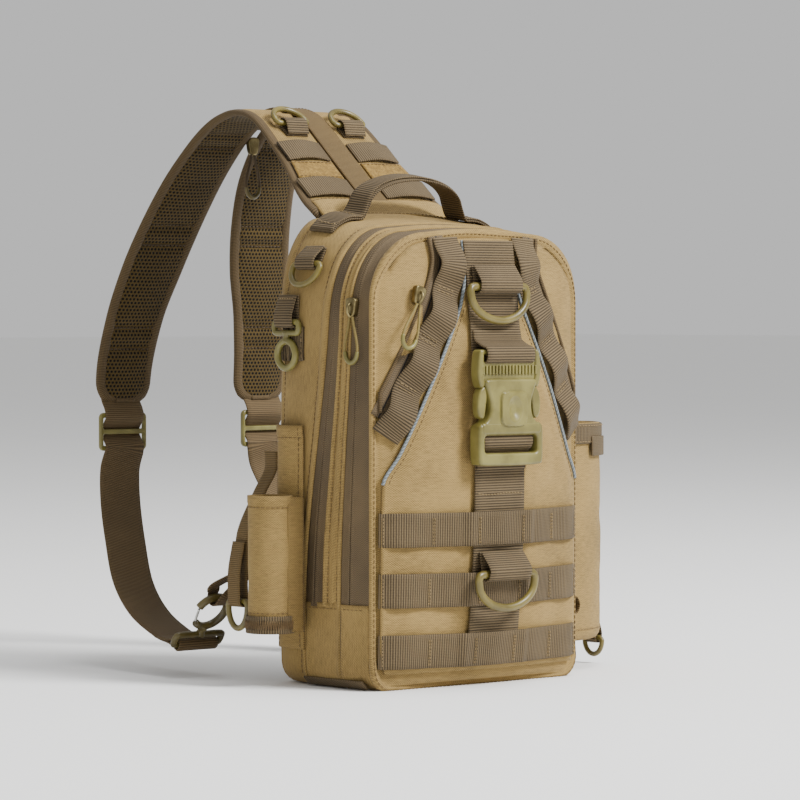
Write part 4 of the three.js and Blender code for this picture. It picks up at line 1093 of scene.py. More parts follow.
def makeCentre():
    out, thick = centre["out"], centre["thick"]
    for name, high, low, node in centre["strips"]:
        path = [onFront(0, z, out + thick / 2) for z in spread(high, low, int((high - low) / 2.5))]
        webbingPiece(name, path, centre["width"], thick, xAxis, webbing, node, columns=12)
    face = out + thick + 0.2
    for z in centre["tacks"]:
        line = []
        for x in spread(-centre["tackHalf"], centre["tackHalf"], 24):
            line.append(onFront(x, z + 0.5 * math.sin(x / 6), face + frontY(x, z) - frontY(0, z)))
        stitchLine("tacks", line, -yAxis, 2.2, 0.8)


# D rings: straight bar, short sides and a round bow
bigRing = dict(inner=50, depth=25, wire=3, shoulder=6)
smallRing = dict(inner=25, depth=17, wire=2.3, shoulder=4)
tinyRing = dict(inner=15, depth=13, wire=2, shoulder=2)
hangerRing = dict(inner=17, depth=20, wire=2.3, shoulder=4)
tabSize = dict(thick=1.4, clear=0.6)


def ringPiece(name, size, bar, across, hang, node, rides=bag):
    wire, shoulder = size["wire"], size["shoulder"]
    half = size["inner"] / 2 + wire
    spots = [(u, 0) for u in spread(-half + wire, half - wire, 4)] + [(half, wire)]
    for i in range(13):
        a = math.pi * i / 12
        spots.append((half * math.cos(a), shoulder + (size["depth"] - shoulder) * math.sin(a)))
    spots.append((-half, wire))
    path = curvePath([bar + across * u + hang * w for u, w in spots], 1.2, closed=True)
    wirePiece(name, path, wire, across.cross(hang).normalized(), ringOlive, "plastic", node, rides,
              closed=True, sides=16, flat=0.92)


# a webbing tab folded round a bar and sewn down on one side
def tabPiece(name, bar, sew, out, across, width, reach, wire, node, sink=0.0):
    thick = tabSize["thick"]
    fold = wire + tabSize["clear"] + thick / 2
    spots = [(reach, -fold - sink), (reach * 0.55, -fold - sink * 0.6)]
    spots += [(-fold * s, -fold * c) for c, s in halfTurn]
    spots += [(reach * 0.3, fold * 0.95), (reach, -fold - sink + thick + 0.6)]
    path = curvePath([bar + sew * s + out * o for s, o in spots], 1.0)
    webbingPiece(name, path, width, thick, across, webbing, node, columns=8)
    spot = bar + sew * (reach - 2.5) + out * (-fold - sink + thick + 2.2)
    half = across * (width / 2 - 1.5)
    stitchLine("tacks", [spot - half, spot + half], out, 2.0, 0.7)


frontRings = dict(upper=dict(z=294, out=11.6, sink=0.0), lower=dict(z=83, out=15.4, sink=4.0))
frontTab = dict(width=42, reach=16)


def makeFrontRings():
    for name, place in frontRings.items():
        bar = onFront(0, place["z"], place["out"])
        out = frontNormal(bar)
        sew = -xAxis.cross(out)
        tabPiece(name + "RingTab", bar, sew, out, xAxis, frontTab["width"], frontTab["reach"],
                 bigRing["wire"], name + "_ring_tab", place["sink"])
        hang = -sew
        hang.y = min(hang.y, 0)
        ringPiece(name + "Ring", bigRing, bar, xAxis, hang.normalized(), name + "_d_ring", name + "_ring")


# moulded plates: a flat outline with holes, given rounded edges by a filled curve
def roundedLoop(cx, cz, width, height, radius, count=6):
    loop = []
    for k, (sx, sz) in enumerate(((1, -1), (1, 1), (-1, 1), (-1, -1))):
        for i in range(count + 1):
            a = math.pi / 2 * (k - 1 + i / count)
            loop.append((cx + sx * (width / 2 - radius) + radius * math.cos(a),
                         cz + sz * (height / 2 - radius) + radius * math.sin(a)))
    return loop


def curveLoop(shape, step, closed=True):
    return [(p.x, p.z) for p in curvePath([mm(u, 0, w) for u, w in shape], step, closed)]


def plateMesh(loops, thick, bevel, placing):
    data = bpy.data.curves.new("plateOutline", "CURVE")
    data.dimensions = "2D"
    data.fill_mode = "BOTH"
    data.extrude = (thick / 2 - bevel) * mmScale
    data.bevel_depth = bevel * mmScale
    data.bevel_resolution = 3
    data.offset = -bevel * mmScale
    for loop in loops:
        addSpline(data, [mm(u, w, 0) for u, w in loop]).use_cyclic_u = True
    outline = addObject("plateOutline", data)
    mesh = bpy.data.meshes.new_from_object(outline.evaluated_get(bpy.context.evaluated_depsgraph_get()))
    bpy.data.objects.remove(outline)
    points = [placing @ (v.co / mmScale) for v in mesh.vertices]
    faces = [tuple(p.vertices) for p in mesh.polygons]
    bpy.data.meshes.remove(mesh)
    return points, faces, [(p.x, p.z) for p in points]


def platePlace(origin, across, up):
    turned = Matrix((across, up, across.cross(up))).transposed()
    return Matrix.Translation(origin) @ turned.to_4x4()


sharpFrom = math.radians(38)  # moulded edges steeper than this stay crisp


def mouldedPiece(name, parts, material, node):
    obj = makePiece(name, joinMeshes(parts), material, node)
    obj.data.set_sharp_from_angle(angle=sharpFrom)


buckle = dict(
    back=6.1, teeth=17, teethHalf=26.5,
    padSize=26, padZ=204.5, padX=1.5, padRise=2.3, padPoints=41, padReach=1.08, dimple=(7, 9.6, 2.1),
    # middle, width, height and corner of its plates and slots, and of a tooth at any x
    frame=(0, 236.5, 60, 23, 5), frameSlot=(0, 242, 52, 4.6, 1.5), base=(0, 190, 60, 9, 3),
    baseSlot=(0, 178.6, 53, 13, 3), tooth=(233, 2.1, 6.8, 0.8, 3),
    # depth and edge rounding of each layer, and how far off the buckle's back it starts
    frameLayer=(8.6, 1.4, 0), toothLayer=(3.2, 0.7, 7), armLayer=(9.4, 1.6, 0.6), prongLayer=(7.6, 1.6, 2),
    femaleLayer=(12, 2.2, 0), baseLayer=(12.4, 2, 0),
    arm=((29.5, 247), (31, 240), (31.5, 232), (30.5, 225), (28, 220), (24.5, 223), (26.5, 230), (26, 238),
         (26, 247)),
    prong=((24, 221), (28, 219.5), (30.6, 215), (31.6, 208), (30.8, 201), (28, 197.4), (25, 198.5),
           (23.5, 206), (22.6, 214)),
    female=((0, 226.4), (14, 226.6), (24, 226.0), (25.5, 223), (23, 217), (20.5, 209), (21.5, 200.5),
            (25.5, 195), (30.5, 193), (32, 189), (32, 172), (31.4, 166), (28, 163.4), (0, 162.6)),
    # webbing round its two bars: width, height and lift where sewn, then distance off the back and height
    folds=(
        ("buckleFoldTop", 48, ((262, 2.4), (255, 3.6)),
         ((5, 250.6), (9.6, 249.2), (11.4, 245.6), (11.0, 241), (8.6, 238.6), (4.6, 238.2))),
        ("buckleFoldLow", 49, ((160, 2.4),), ((1.6, 168), (3.4, 173), (7, 176.5), (8.6, 181), (7.4, 185.6))),
    ),
)


def makeBuckle():
    face = frontY(0, front["fullest"]) - buckle["back"]

    def layer(part, *loops):
        depth, bevel, off = buckle[part + "Layer"]
        return plateMesh(loops, depth, bevel, platePlace(mm(0, face - off - depth / 2, 0), xAxis, zAxis))

    male = [layer("frame", roundedLoop(*buckle["frame"]), roundedLoop(*buckle["frameSlot"]))]
    for x in spread(-buckle["teethHalf"], buckle["teethHalf"], buckle["teeth"]):
        male.append(layer("tooth", roundedLoop(x, *buckle["tooth"])))
    for side, _ in leftRight:
        for part in ("arm", "prong"):
            loop = curveLoop([(side * x, z) for x, z in buckle[part]], 1.2)
            male.append(layer(part, loop if side > 0 else loop[::-1]))
    mouldedPiece("buckleMale", male, olivePlastic, "buckle_male")
    right = curveLoop(buckle["female"], 1.3, closed=False)
    loop = right + [(-x, z) for x, z in right[-2:0:-1]]
    female = [layer("female", loop, roundedLoop(*buckle["baseSlot"])),
              layer("base", roundedLoop(*buckle["base"])), padMesh(face - buckle["femaleLayer"][0])]
    mouldedPiece("buckleFemale", female, olivePlastic, "buckle_female")
    for name, width, sewn, wrapped in buckle["folds"]:
        path = [onFront(0, z, centre["out"] + lift) for z, lift in sewn]
        path += [mm(0, face - off, z) for off, z in wrapped]
        webbingPiece(name, curvePath(path, 1.0), width, 1.5, xAxis, webbing, columns=12)


# raised square pad with a thumb dimple
def padMesh(face):
    half = buckle["padSize"] / 2
    dipX, dipZ, dip = buckle["dimple"]
    points, maps, faces = [], [], []
    n = buckle["padPoints"]
    steps = spread(-buckle["padReach"], buckle["padReach"], n)
    for w in steps:
        for u in steps:
            far = (abs(u) ** 5 + abs(w) ** 5) ** 0.2
            rise = buckle["padRise"] * smooth(far, 1.04, 0.96) - 0.5
            near = math.hypot(u * half / dipX, w * half / dipZ)
            rise -= dip * smooth(near, 1.0, 0.2) - 0.25 * smooth(abs(near - 1.02), 0.16, 0.0)
            points.append(mm(buckle["padX"] + u * half, face - rise, buckle["padZ"] + w * half))
            maps.append((u * half, w * half))
    for j in range(n - 1):
        for a in range(j * n, j * n + n - 1):
            faces.append((a, a + 1, a + n + 1, a + n))
    return points, faces, maps


makeCentre()
makeFrontRings()
makeBuckle()
print("front hardware ready")


# carry handle: two layers of webbing, sewn flat at both ends and standing in an arch
handle = dict(rise=52, peak=377, y=28, width=24, slope=0.17, lower=1.5, upper=1.4,
              feet=(-84, -76, -66, -58, -52), off=1.3, lifts=(0.8, 2.5), waist=7, sewn=(56, 80), sewnHalf=9.5)


def topHeight(x, y):
    width, top, cornerX, cornerZ = (fromTable(body["sections"], y, c) for c in range(1, 5))
    flat = width - cornerX
    reach = abs(x)
    if reach <= flat:
        return top - body["crown"] * (reach / flat) ** 2
    part = (reach - flat) / cornerX
    return top - body["crown"] - cornerZ + cornerZ * math.sqrt(max(0, 1 - part * part))


def handlePath(lift):
    y = handle["y"]
    spots = [mm(x, y, topHeight(x, y) + handle["off"] + lift) for x in handle["feet"]]
    foot = topHeight(handle["rise"], y) + handle["off"] + lift
    arch = []
    for i in range(1, 16):
        a = math.pi * i / 16
        height = foot + (handle["peak"] + lift - 1.5 - foot) * math.sin(a) ** 0.7
        arch.append(mm(-(handle["rise"] - 4) * math.cos(a), y - 4 * math.sin(a), height))
    return curvePath(spots + arch + [mirrored(p) for p in spots[::-1]], 2.0)


def makeHandle():
    slope = mm(0, 1, handle["slope"]).normalized()
    lower, upper = (handlePath(lift) for lift in handle["lifts"])
    webbingPiece("handleLower", lower, handle["width"], handle["lower"], slope, webbing, "handle")

    def narrow(t):
        return handle["width"] - 1 - handle["waist"] * smooth(abs(t - 0.5), 0.32, 0.12)

    webbingPiece("handleUpper", upper, narrow, handle["upper"], slope, webbing, columns=8)
    low, high = handle["sewn"]
    for side, _ in leftRight:
        spots = [p for p in upper if low < side * p.x < high]
        a, b = spots[0], spots[-1]
        n = (b - a).cross(slope).normalized()
        n = n if n.z > 0 else -n
        lift = n * (handle["upper"] / 2 + 0.3)
        corners = [p + slope * w + lift for p in (a, b) for w in (-handle["sewnHalf"], handle["sewnHalf"])]
        for i, j in ((0, 1), (1, 3), (3, 2), (2, 0), (0, 3), (1, 2)):
            stitchLine("tacks", [corners[i], corners[j]], n)


# left shoulder ring on its tab
shoulder = dict(place=(-98.1, 22, 308.9), slope=(-0.42, 0, -0.908), out=(-0.908, 0, 0.42), width=21, reach=15)


def makeShoulderRing():
    slope, out = (Vector(shoulder[way]).normalized() for way in ("slope", "out"))
    wire = smallRing["wire"]
    bar = Vector(shoulder["place"]) + out * (wire + tabSize["clear"] + tabSize["thick"] + 0.4)
    tabPiece("shoulderTab", bar, -slope, out, yAxis, shoulder["width"], shoulder["reach"], wire,
             "side_ring_tab")
    ringPiece("shoulderRing", smallRing, bar, yAxis, slope, "side_d_ring", "side_ring")


# snap hook: webbing frame at its bar, a neck, a round hook
def hookMesh(size, bar, across, axis, sweep):
    normal = across.cross(axis).normalized()

    def spot(u, w):
        return bar + across * u + axis * w

    half, r, deep = size["frame"] / 2, size["frameWire"], size["frameDepth"]
    loop = [(-half + r, 0), (0, 0), (half - r, 0), (half, r), (half, deep - r), (half - r, deep), (0, deep),
            (-half + r, deep), (-half, deep - r), (-half, r)]
    parts = [wireMesh(curvePath([spot(u, w) for u, w in loop], 1.0, closed=True), r, normal, True, 12)]
    neck = [spot(0, w) for w in spread(deep - 0.5, deep + size["neck"] + 0.5, 9)]

    def waist(t):
        return size["neckWire"] * (1.15 - 0.3 * math.sin(math.pi * t))

    parts.append(wireMesh(neck, waist, normal))
    bow = size["round"]
    middleAt = deep + size["neck"] + bow
    closed = sweep[1] - sweep[0] >= 360
    angles = [math.radians(a) for a in spread(*sweep, 49)[:-1 if closed else None]]
    path = [spot(bow * math.cos(a), middleAt + bow * math.sin(a)) for a in angles]
    parts.append(wireMesh(path, size["wire"], normal, closed))
    return joinMeshes(parts)


# side hook on its loop, and the webbing patch behind it
sideHook = dict(place=(-110.8, 36, 268), width=20, reach=20, frame=27, frameDepth=8, frameWire=2.2, neck=6,
                neckWire=3, round=10, wire=2.6, sweep=(-90, 270))
sidePatch = dict(z=252, width=25, front=19.5, back=46, tacks=(21, 44.5), tackHalf=11)


def makeSideHook():
    bar = Vector(sideHook["place"])
    tabPiece("hookLoop", bar, zAxis, -xAxis, yAxis, sideHook["width"], sideHook["reach"],
             sideHook["frameWire"], "hook_loop")
    hook = hookMesh(sideHook, bar, yAxis, -zAxis, sideHook["sweep"])
    makePiece("sideHook", hook, olivePlastic, "side_hook")
    middleZ, half = sidePatch["z"], sidePatch["tackHalf"]
    depths = spread(sidePatch["front"], sidePatch["back"], 16)
    patch = [mm(-(halfWidth(y) + 1.4), y, middleZ + 0.4 * math.sin(y)) for y in depths]
    webbingPiece("sidePatch", patch, sidePatch["width"], 1.4, zAxis, webbing)
    for y in sidePatch["tacks"]:
        x = -(halfWidth(y) + 2.3)
        stitchLine("tacks", [mm(x, y, z) for z in spread(middleZ - half, middleZ + half, 12)], -xAxis)


# flat open-topped pocket on the left side
sidePanel = dict(front=18.5, back=54, base=27, top=192, off=2.9, bulge=5.6, dent=0.7, hem=0.7,
                 hemBand=(9, 7.6), hemSeam=10, thick=1.9)


def makeSidePanel():
    low, high, base, top = (sidePanel[key] for key in ("front", "back", "base", "top"))

    def spot(z, y):
        rise = (z - base) / (top - base)
        arch = math.sin(math.pi * ((y - low) / (high - low)))
        bulge = sidePanel["bulge"] * min(1, rise * 3) * arch
        dent = sidePanel["dent"] * (wobble((0, y, z), 26, 7) + 0.4) * arch
        hem = sidePanel["hem"] * smooth(top - z, *sidePanel["hemBand"])
        return mm(-(halfWidth(y) + sidePanel["off"] + bulge + dent + hem), y, z)

    rows = grid(spread(base, top, 56), spread(low, high, 24), spot)
    sheetPiece("sidePanel", rows, sidePanel["thick"], coyote, "side_panel", flip=True)
    hemRow = min(rows, key=lambda row: abs(top - row[0].z - sidePanel["hemSeam"]))
    for seam in ([row[2] for row in rows], [row[-3] for row in rows], hemRow):
        stitchLine("seams", [p - xAxis * 0.1 for p in seam], -xAxis)


# an outward direction round an upright line
def outFrom(x, y):
    return lambda p: mm(p.x - x, p.y - y, 0).normalized()


# rod sleeve: a cloth tube with a webbing band round its foot and a cloth wing at either side
sleeve = dict(x=-131.7, y=30, radius=16.5, base=40, top=141, thick=1.7, roll=0.6, rollBand=(7, 5.6),
              soft=0.5, band=13, bandOff=1.0, bandThick=1.3, zigzag=3.6, zigzagOff=1.9,
              zigzagTurn=(0.8, 1.7), zigzagThread=0.26, rimSeam=8.5, footSeam=2, wingThick=1.4, wingX=-114.5)


def sleeveSpot(r, a, z):
    return mm(sleeve["x"] + r * math.cos(a), sleeve["y"] + r * math.sin(a), z)


def makeSleeve():
    radius, base, top, band = sleeve["radius"], sleeve["base"], sleeve["top"], sleeve["band"]
    outward = outFrom(sleeve["x"], sleeve["y"])

    def tube(z, a):
        roll = sleeve["roll"] * smooth(top - z, *sleeve["rollBand"])
        soft = sleeve["soft"] * wobble((20 * math.cos(a), 20 * math.sin(a), z), 17, 3)
        return sleeveSpot(radius - 0.2 + roll + soft, a, z)

    rows = grid(spread(base, top, 44), spread(0, twoPi, 65)[:-1], tube)
    sheetPiece("rodSleeve", rows, sleeve["thick"], coyote, "rod_sleeve", closed=True)
    middleZ = base + band / 2
    around = [sleeveSpot(radius + sleeve["bandOff"], a, middleZ) for a in spread(0, twoPi, 97)[:-1]]
    cuff = webbingMesh(around, band, sleeve["bandThick"], zAxis, closed=True)
    makePiece("sleeveBand", cuff, webbing)
    zigzag = []
    for i, a in enumerate(spread(*(math.pi * turn for turn in sleeve["zigzagTurn"]), 60)):
        step = sleeve["zigzag"] if i % 2 else -sleeve["zigzag"]
        zigzag.append(sleeveSpot(radius + sleeve["zigzagOff"], a, middleZ + step))
    for a, b in zip(zigzag, zigzag[1:]):
        threadRuns.setdefault("seams", []).append(stitchMesh(a, b, outward(a), sleeve["zigzagThread"]))
    for z in (top - sleeve["rimSeam"], base + band + sleeve["footSeam"]):
        stitchLine("seams", [sleeveSpot(radius + 0.1, a, z) for a in spread(0, twoPi, 60)], outward)
    for side, end in ((-1, "front"), (1, "back")):
        wing = []
        for z in spread(base + 1, top - 1, 30):
            line = []
            for t in spread(0, 1, 8):
                x = lerp(sleeve["x"] + 3, sleeve["wingX"], t)
                off = lerp(radius - 0.5, radius + 1.6, t) + 0.4 * wobble((x, 0, z), 20, 5)
                line.append(mm(x, sleeve["y"] + side * off, z))
            wing.append(line)
        # the wings take the darker copy of the cloth: painted shade between the sleeve and the bag
        sheetPiece("sleeveWing_" + end, wing, sleeve["wingThick"], coyoteShadedCopy, flip=side > 0)


# webbing loop behind the sleeve with a ring at its foot: x and height on the way down and up again
hanger = dict(y=58.3, width=14, ringZ=62, x=-139, up=((-142.6, 84), (-138, 106)),
              down=((-107.1, 172), (-107.6, 158), (-119.1, 140), (-134, 112), (-135.4, 84)))


def makeHanger():
    x, y, z = hanger["x"], hanger["y"], hanger["ringZ"]
    fold = hangerRing["wire"] + tabSize["clear"] + tabSize["thick"] / 2
    bend = [(x + fold * c, z - fold * s) for c, s in halfTurn]
    path = curvePath([mm(u, y, w) for u, w in (*hanger["down"], *bend, *hanger["up"])], 1.4)
    webbingPiece("sideHanger", path, hanger["width"], tabSize["thick"], yAxis, spineWeb, "side_hanger")
    ringPiece("hangerRing", hangerRing, mm(x, y, z), yAxis, -zAxis, "hanger_ring")


makeHandle()
makeShoulderRing()
makeSideHook()
makeSidePanel()
makeSleeve()
makeHanger()
print("left side ready")


# bottle pocket: a D in plan, soft walls, a webbing rim and a ring on a tab
bottle = dict(
    inner=107.9, reach=75, y=15, half=40, base=22, top=190, bandLow=174, bandHigh=189.5, sides=66,
    middleX=120, floorRise=1.6, floorInset=20, floorThick=1.2, floorRings=(0.02, 0.35, 0.7, 1.1),
    pinchBand=(158, 172), flare=0.4, flareBand=(186, 190), calmBand=(160, 174), bandSeam=1.6,
    # height over the base and inset of the rounded foot
    foot=((1.2, 22), (0, 7), (1.2, 3.4), (4.5, 1.0)), thick=1.7, soft=1.1, wide=(30, 11), fine=(12, 14),
    tabWidth=12, tabReach=18, ringZ=20, patchZ=172, patchWidth=15,
)


def bottleRing(z, inset, soft=0.0):
    ring = []
    for i in range(bottle["sides"] + 1):
        a = math.pi * (i / bottle["sides"] - 0.5)
        out = max(math.cos(a), 0)
        x = bottle["inner"] + inset + (bottle["reach"] - 2 * inset) * out ** 0.8
        y = bottle["y"] + (bottle["half"] - inset) * math.sin(a)
        dent = soft * dents((x, y, z), bottle["wide"], bottle["fine"]) * out ** 0.5
        ring.append(mm(x, y, z) + mm(math.cos(a), math.sin(a), 0) * dent)
    flat = spread(0.8, -0.8, 9)
    return ring + [mm(bottle["inner"] + inset, bottle["y"] + (bottle["half"] - inset) * s, z) for s in flat]


def makeBottlePocket():
    base, sides, low, high = bottle["base"], bottle["sides"], bottle["bandLow"], bottle["bandHigh"]
    outward = outFrom(bottle["middleX"], bottle["y"])
    rows = [bottleRing(base + rise, inset) for rise, inset in bottle["foot"]]
    for z in spread(base + 8, bottle["top"], 48):
        pinch = smooth(z, *bottle["pinchBand"]) - bottle["flare"] * smooth(z, *bottle["flareBand"])
        soft = bottle["soft"] * (1 - smooth(z, *bottle["calmBand"]))
        rows.append(bottleRing(z, 0.2 + pinch, soft))
    sheetPiece("bottlePocket", rows, bottle["thick"], coyote, "bottle_pocket", closed=True)
    floorRing = bottleRing(base + bottle["floorRise"], bottle["floorInset"])
    middlePoint = sum(floorRing, Vector()) / len(floorRing)
    floorRows = [[lerp(middlePoint, p, s) for p in floorRing] for s in bottle["floorRings"]]
    # the floor inside the pocket takes the darker copy of the cloth: painted shade
    sheetPiece("bottlePocketFloor", floorRows, bottle["floorThick"], coyoteShadedCopy, closed=True)
    stitchLine("seams", bottleRing(base + 9, -0.2)[:sides + 1], outward)
    band = curvePath(bottleRing((low + high) / 2, -0.6)[2:sides - 1], 2.0)
    webbingPiece("pocketBand", band, high - low, 1.4, zAxis, webbing, "pocket_band")
    for z in (low + bottle["bandSeam"], high - bottle["bandSeam"]):
        stitchLine("tacks", bottleRing(z, -1.5)[4:sides - 3], outward)
    wire = tinyRing["wire"]
    off = 0.4 + tabSize["thick"] + tabSize["clear"] + wire
    bar = mm(bottle["inner"] + bottle["reach"] + off, bottle["y"], bottle["ringZ"])
    tabPiece("pocketRingTab", bar, zAxis, xAxis, yAxis, bottle["tabWidth"], bottle["tabReach"], wire,
             "pocket_ring_tab")
    ringPiece("pocketRing", tinyRing, bar, yAxis, -zAxis, "pocket_ring")
    patchLine = curvePath(bottleRing(bottle["patchZ"], -2.2)[10:22], 1.5)
    webbingPiece("pocketPatch", patchLine, bottle["patchWidth"], 1.3, zAxis, webbing)


# padded straps: station y, z, inner and outer edge
strap = dict(
    stations=((56, 351.4, 1, 69), (70, 361, 1, 67), (104, 391, 1, 58), (132, 416, 1, 55), (147, 425.5, 1, 54),
              (162, 429, 1, 53), (178, 428, 2, 53), (195, 421, 4, 55), (214, 405, 6, 59), (235, 378, 10, 66),
              (252, 345, 17, 75), (265, 310, 26, 84), (275, 270, 38, 92), (282, 230, 44, 96),
              (284, 206, 45, 95)),
    thick=6.2, columns=16, step=3.4, quilts=(112, 126, 178, 192, 266, 281, 350, 365), footRound=14,
    edgeThin=0.35, edgeBand=(0, 8), quiltThin=0.3, quiltBand=(0.5, 7), quiltIn=6, quiltSink=0.38,
    quiltThreadAndShadow=(3.6, 0.3, 0.55), sewnEdge=4, sewnQuilt=2.2, sewnEnd=3, footIn=2,
    pressure=6.0, cap=4.2, frames=20, root=(59, 51, 343.5), edgeIn=1.5, bindIn=3.4, bindWire=2.7,
    footWire=2.9,
)


# places along the strap: middle, direction, outward direction, run, inner and outer edge
def strapFrames(step):
    path = curvePath([mm(0, y, z) for y, z, _, _ in strap["stations"]], step)
    runs = pathLengths(path)
    edges = []
    for y, z, inner, outer in strap["stations"]:
        nearest = min(range(len(path)), key=lambda i: (path[i] - mm(0, y, z)).length)
        edges.append((runs[nearest], inner, outer))
    frames = []
    for p, along, run in zip(path, tangents(path), runs):
        atFoot = clamp(1 - (runs[-1] - run) / strap["footRound"])
        tuck = strap["footRound"] * (1 - math.sqrt(1 - atFoot ** 2))
        inner, outer = fromTable(edges, run, 1) + tuck, fromTable(edges, run, 2) - tuck
        frames.append(dict(p=p, along=along, out=-along.cross(xAxis), run=run, inner=inner, outer=outer))
    return frames


def makeStrap(side, end):
    frames = strapFrames(strap["step"])
    n = strap["columns"]
    points, maps, sewn = [], [], []
    half = strap["thick"] / 2
    last = frames[-1]
    for f in frames:
        across = spread(f["inner"] + strap["edgeIn"], f["outer"] - strap["edgeIn"], n)
        quilt = min(abs(f["run"] - q) for q in strap["quilts"])
        ends = min(f["run"], last["run"] - f["run"])
        for face in (1, -1):
            for j, x in enumerate(across if face > 0 else across[::-1]):
                t = j / (n - 1)
                edge = min(t, 1 - t) * (f["outer"] - f["inner"])
                thin = lerp(strap["edgeThin"], 1, smooth(edge, *strap["edgeBand"]))
                thin *= lerp(strap["quiltThin"], 1, smooth(quilt, *strap["quiltBand"]))
                if edge < strap["sewnEdge"] or quilt < strap["sewnQuilt"] or ends < strap["sewnEnd"]:
                    sewn.append(len(points))
                points.append(f["p"] + f["out"] * half * face * thin + xAxis * side * x)
                maps.append((x, f["run"]))
    count = 2 * n
    faces = ringFaces(len(frames), count)
    if side < 0:
        faces = [face[::-1] for face in faces]
    pad = makePiece("strapPad_" + end, (points, faces, maps), [coyote, meshBrown],
                    "strap_" + end)
    for poly in pad.data.polygons:
        columns = [v % count for v in poly.vertices]
        poly.material_index = 1 if max(columns) >= n and min(columns) >= n - 1 else 0
    puffPad(pad, sewn)
    sub = pad.modifiers.new("softer", "SUBSURF")
    sub.levels = sub.render_levels = 1
    inner, outer = ([f["p"] + xAxis * side * (f[edge] + inset) for f in frames]
                    for edge, inset in (("inner", strap["bindIn"]), ("outer", -strap["bindIn"])))
    outer.insert(0, mm(side * strap["root"][0], *strap["root"][1:]))  # tucked under the yoke
    for edge, line in (("inner", inner), ("outer", outer)):
        wirePiece("strapBinding_%s_%s" % (edge, end), curvePath(line, 3.0), strap["bindWire"], xAxis, binding,
                  "webbing", sides=12, flat=1.75)
    across = spread(last["inner"] + strap["footIn"], last["outer"] - strap["footIn"], 20)
    foot = [last["p"] + xAxis * side * x for x in across]
    wirePiece("strapBinding_foot_" + end, foot, strap["footWire"], last["out"], binding, "webbing", sides=12,
              flat=1.3)
    # quilting threads, long, thick and in dark cord: real stitches that also paint the shadow in each quilt
    # groove
    for q in strap["quilts"]:
        f = min(frames, key=lambda g: abs(g["run"] - q))
        base = f["p"] - f["out"] * (half * strap["quiltSink"])
        across = spread(f["inner"] + strap["quiltIn"], f["outer"] - strap["quiltIn"], 16)
        line = [base + xAxis * side * x for x in across]
        stitchLine("quiltingAndShadow", line, -f["out"], *strap["quiltThreadAndShadow"])


# air pressure puffs the pad between its sewn edges and cross seams
def puffPad(pad, sewn):
    scene = bpy.context.scene
    pad.vertex_groups.new(name="sewn").add(sewn, 1.0, "REPLACE")
    cloth = pad.modifiers.new("puff", "CLOTH")
    cloth.settings.use_pressure = True
    cloth.settings.uniform_pressure_force = strap["pressure"]
    cloth.settings.effector_weights.gravity = 0
    cloth.settings.vertex_group_mass = "sewn"
    cloth.settings.quality = 5
    cloth.point_cache.frame_start = 1
    cloth.point_cache.frame_end = strap["frames"]
    for step in range(1, strap["frames"] + 1):
        scene.frame_set(step)
    shaped = pad.evaluated_get(bpy.context.evaluated_depsgraph_get()).to_mesh()
    moved = [v.co.copy() for v in shaped.vertices]
    pad.modifiers.remove(cloth)
    scene.frame_set(1)
    cap = strap["cap"] * mmScale
    for v, target in zip(pad.data.vertices, moved):
        step = target - v.co
        v.co += step * min(1, cap / max(step.length, tiny))
    pad.data.update()


# pieces sewn on the straps' upper face
strapTrim = dict(
    spine=24, spineTo=178, spineThick=1.8, seamX=10.4, lift=4.4, upperRun=140,
    loopInner=14.5, loopWidth=21, loopArch=3, loops=(("upper", 107.5), ("lower", 75)),
    ring=(29, 124.539, 420.331), along=(0, 0.74594, 0.66602), out=(0, -0.66602, 0.74594),
    tabWidth=21, tabReach=11, patchFrom=83.5, patchTo=99.5, patchInner=15, patchOuter=4,
)


def makeStrapTrim():
    frames = strapFrames(1.5)
    upper = [f for f in frames if f["run"] <= strapTrim["upperRun"]]
    lift = strapTrim["lift"]
    spine = [f["p"] + f["out"] * lift for f in frames if 1 < f["run"] < strapTrim["spineTo"]]
    webbingPiece("strapSpine", spine, strapTrim["spine"], strapTrim["spineThick"], xAxis, spineWeb,
                 "strap_spine", columns=10)
    for x in (-strapTrim["seamX"], strapTrim["seamX"]):
        stitchLine("seams", [p + xAxis * x + zAxis * 0.75 for p in spine], zAxis)
    along, out = Vector(strapTrim["along"]), Vector(strapTrim["out"])
    for side, end in leftRight:
        for level, y in strapTrim["loops"]:
            f = min(upper, key=lambda g: abs(g["p"].y - y))
            path = []
            for t in spread(0, 1, 30):
                x = lerp(strapTrim["loopInner"], f["outer"] - 2, t)
                arch = strapTrim["loopArch"] * math.sin(math.pi * t)
                path.append(f["p"] + f["out"] * (lift + 0.1 + arch) + xAxis * side * x)
            webbingPiece("strapLoop_%s_%s" % (level, end), path, strapTrim["loopWidth"], 1.6, f["along"],
                         webbing, "strap_loop_%s_%s" % (level, end))
        ringX, ringY, ringZ = strapTrim["ring"]
        bar = mm(side * ringX, ringY, ringZ)
        tabPiece("strapRingTab_" + end, bar, -along, out, xAxis, strapTrim["tabWidth"], strapTrim["tabReach"],
                 smallRing["wire"], "strap_ring_tab_" + end)
        ringPiece("strapRing_" + end, smallRing, bar, xAxis, along, "strap_ring_" + end,
                  "strap_ring_" + end[0])
        rows = []
        for f in upper:
            if strapTrim["patchFrom"] <= f["p"].y <= strapTrim["patchTo"]:
                across = spread(strapTrim["patchInner"], f["outer"] - strapTrim["patchOuter"], 20)
                rows.append([f["p"] + f["out"] * (lift + 0.6) + xAxis * side * x for x in across])
        sheetPiece("loopPatch_" + end, rows, 1.4, loopPatch, flip=side < 0)
        for r in (rows[1], rows[-2]):
            stitchLine("seams", [p + out * 0.1 for p in r], out)


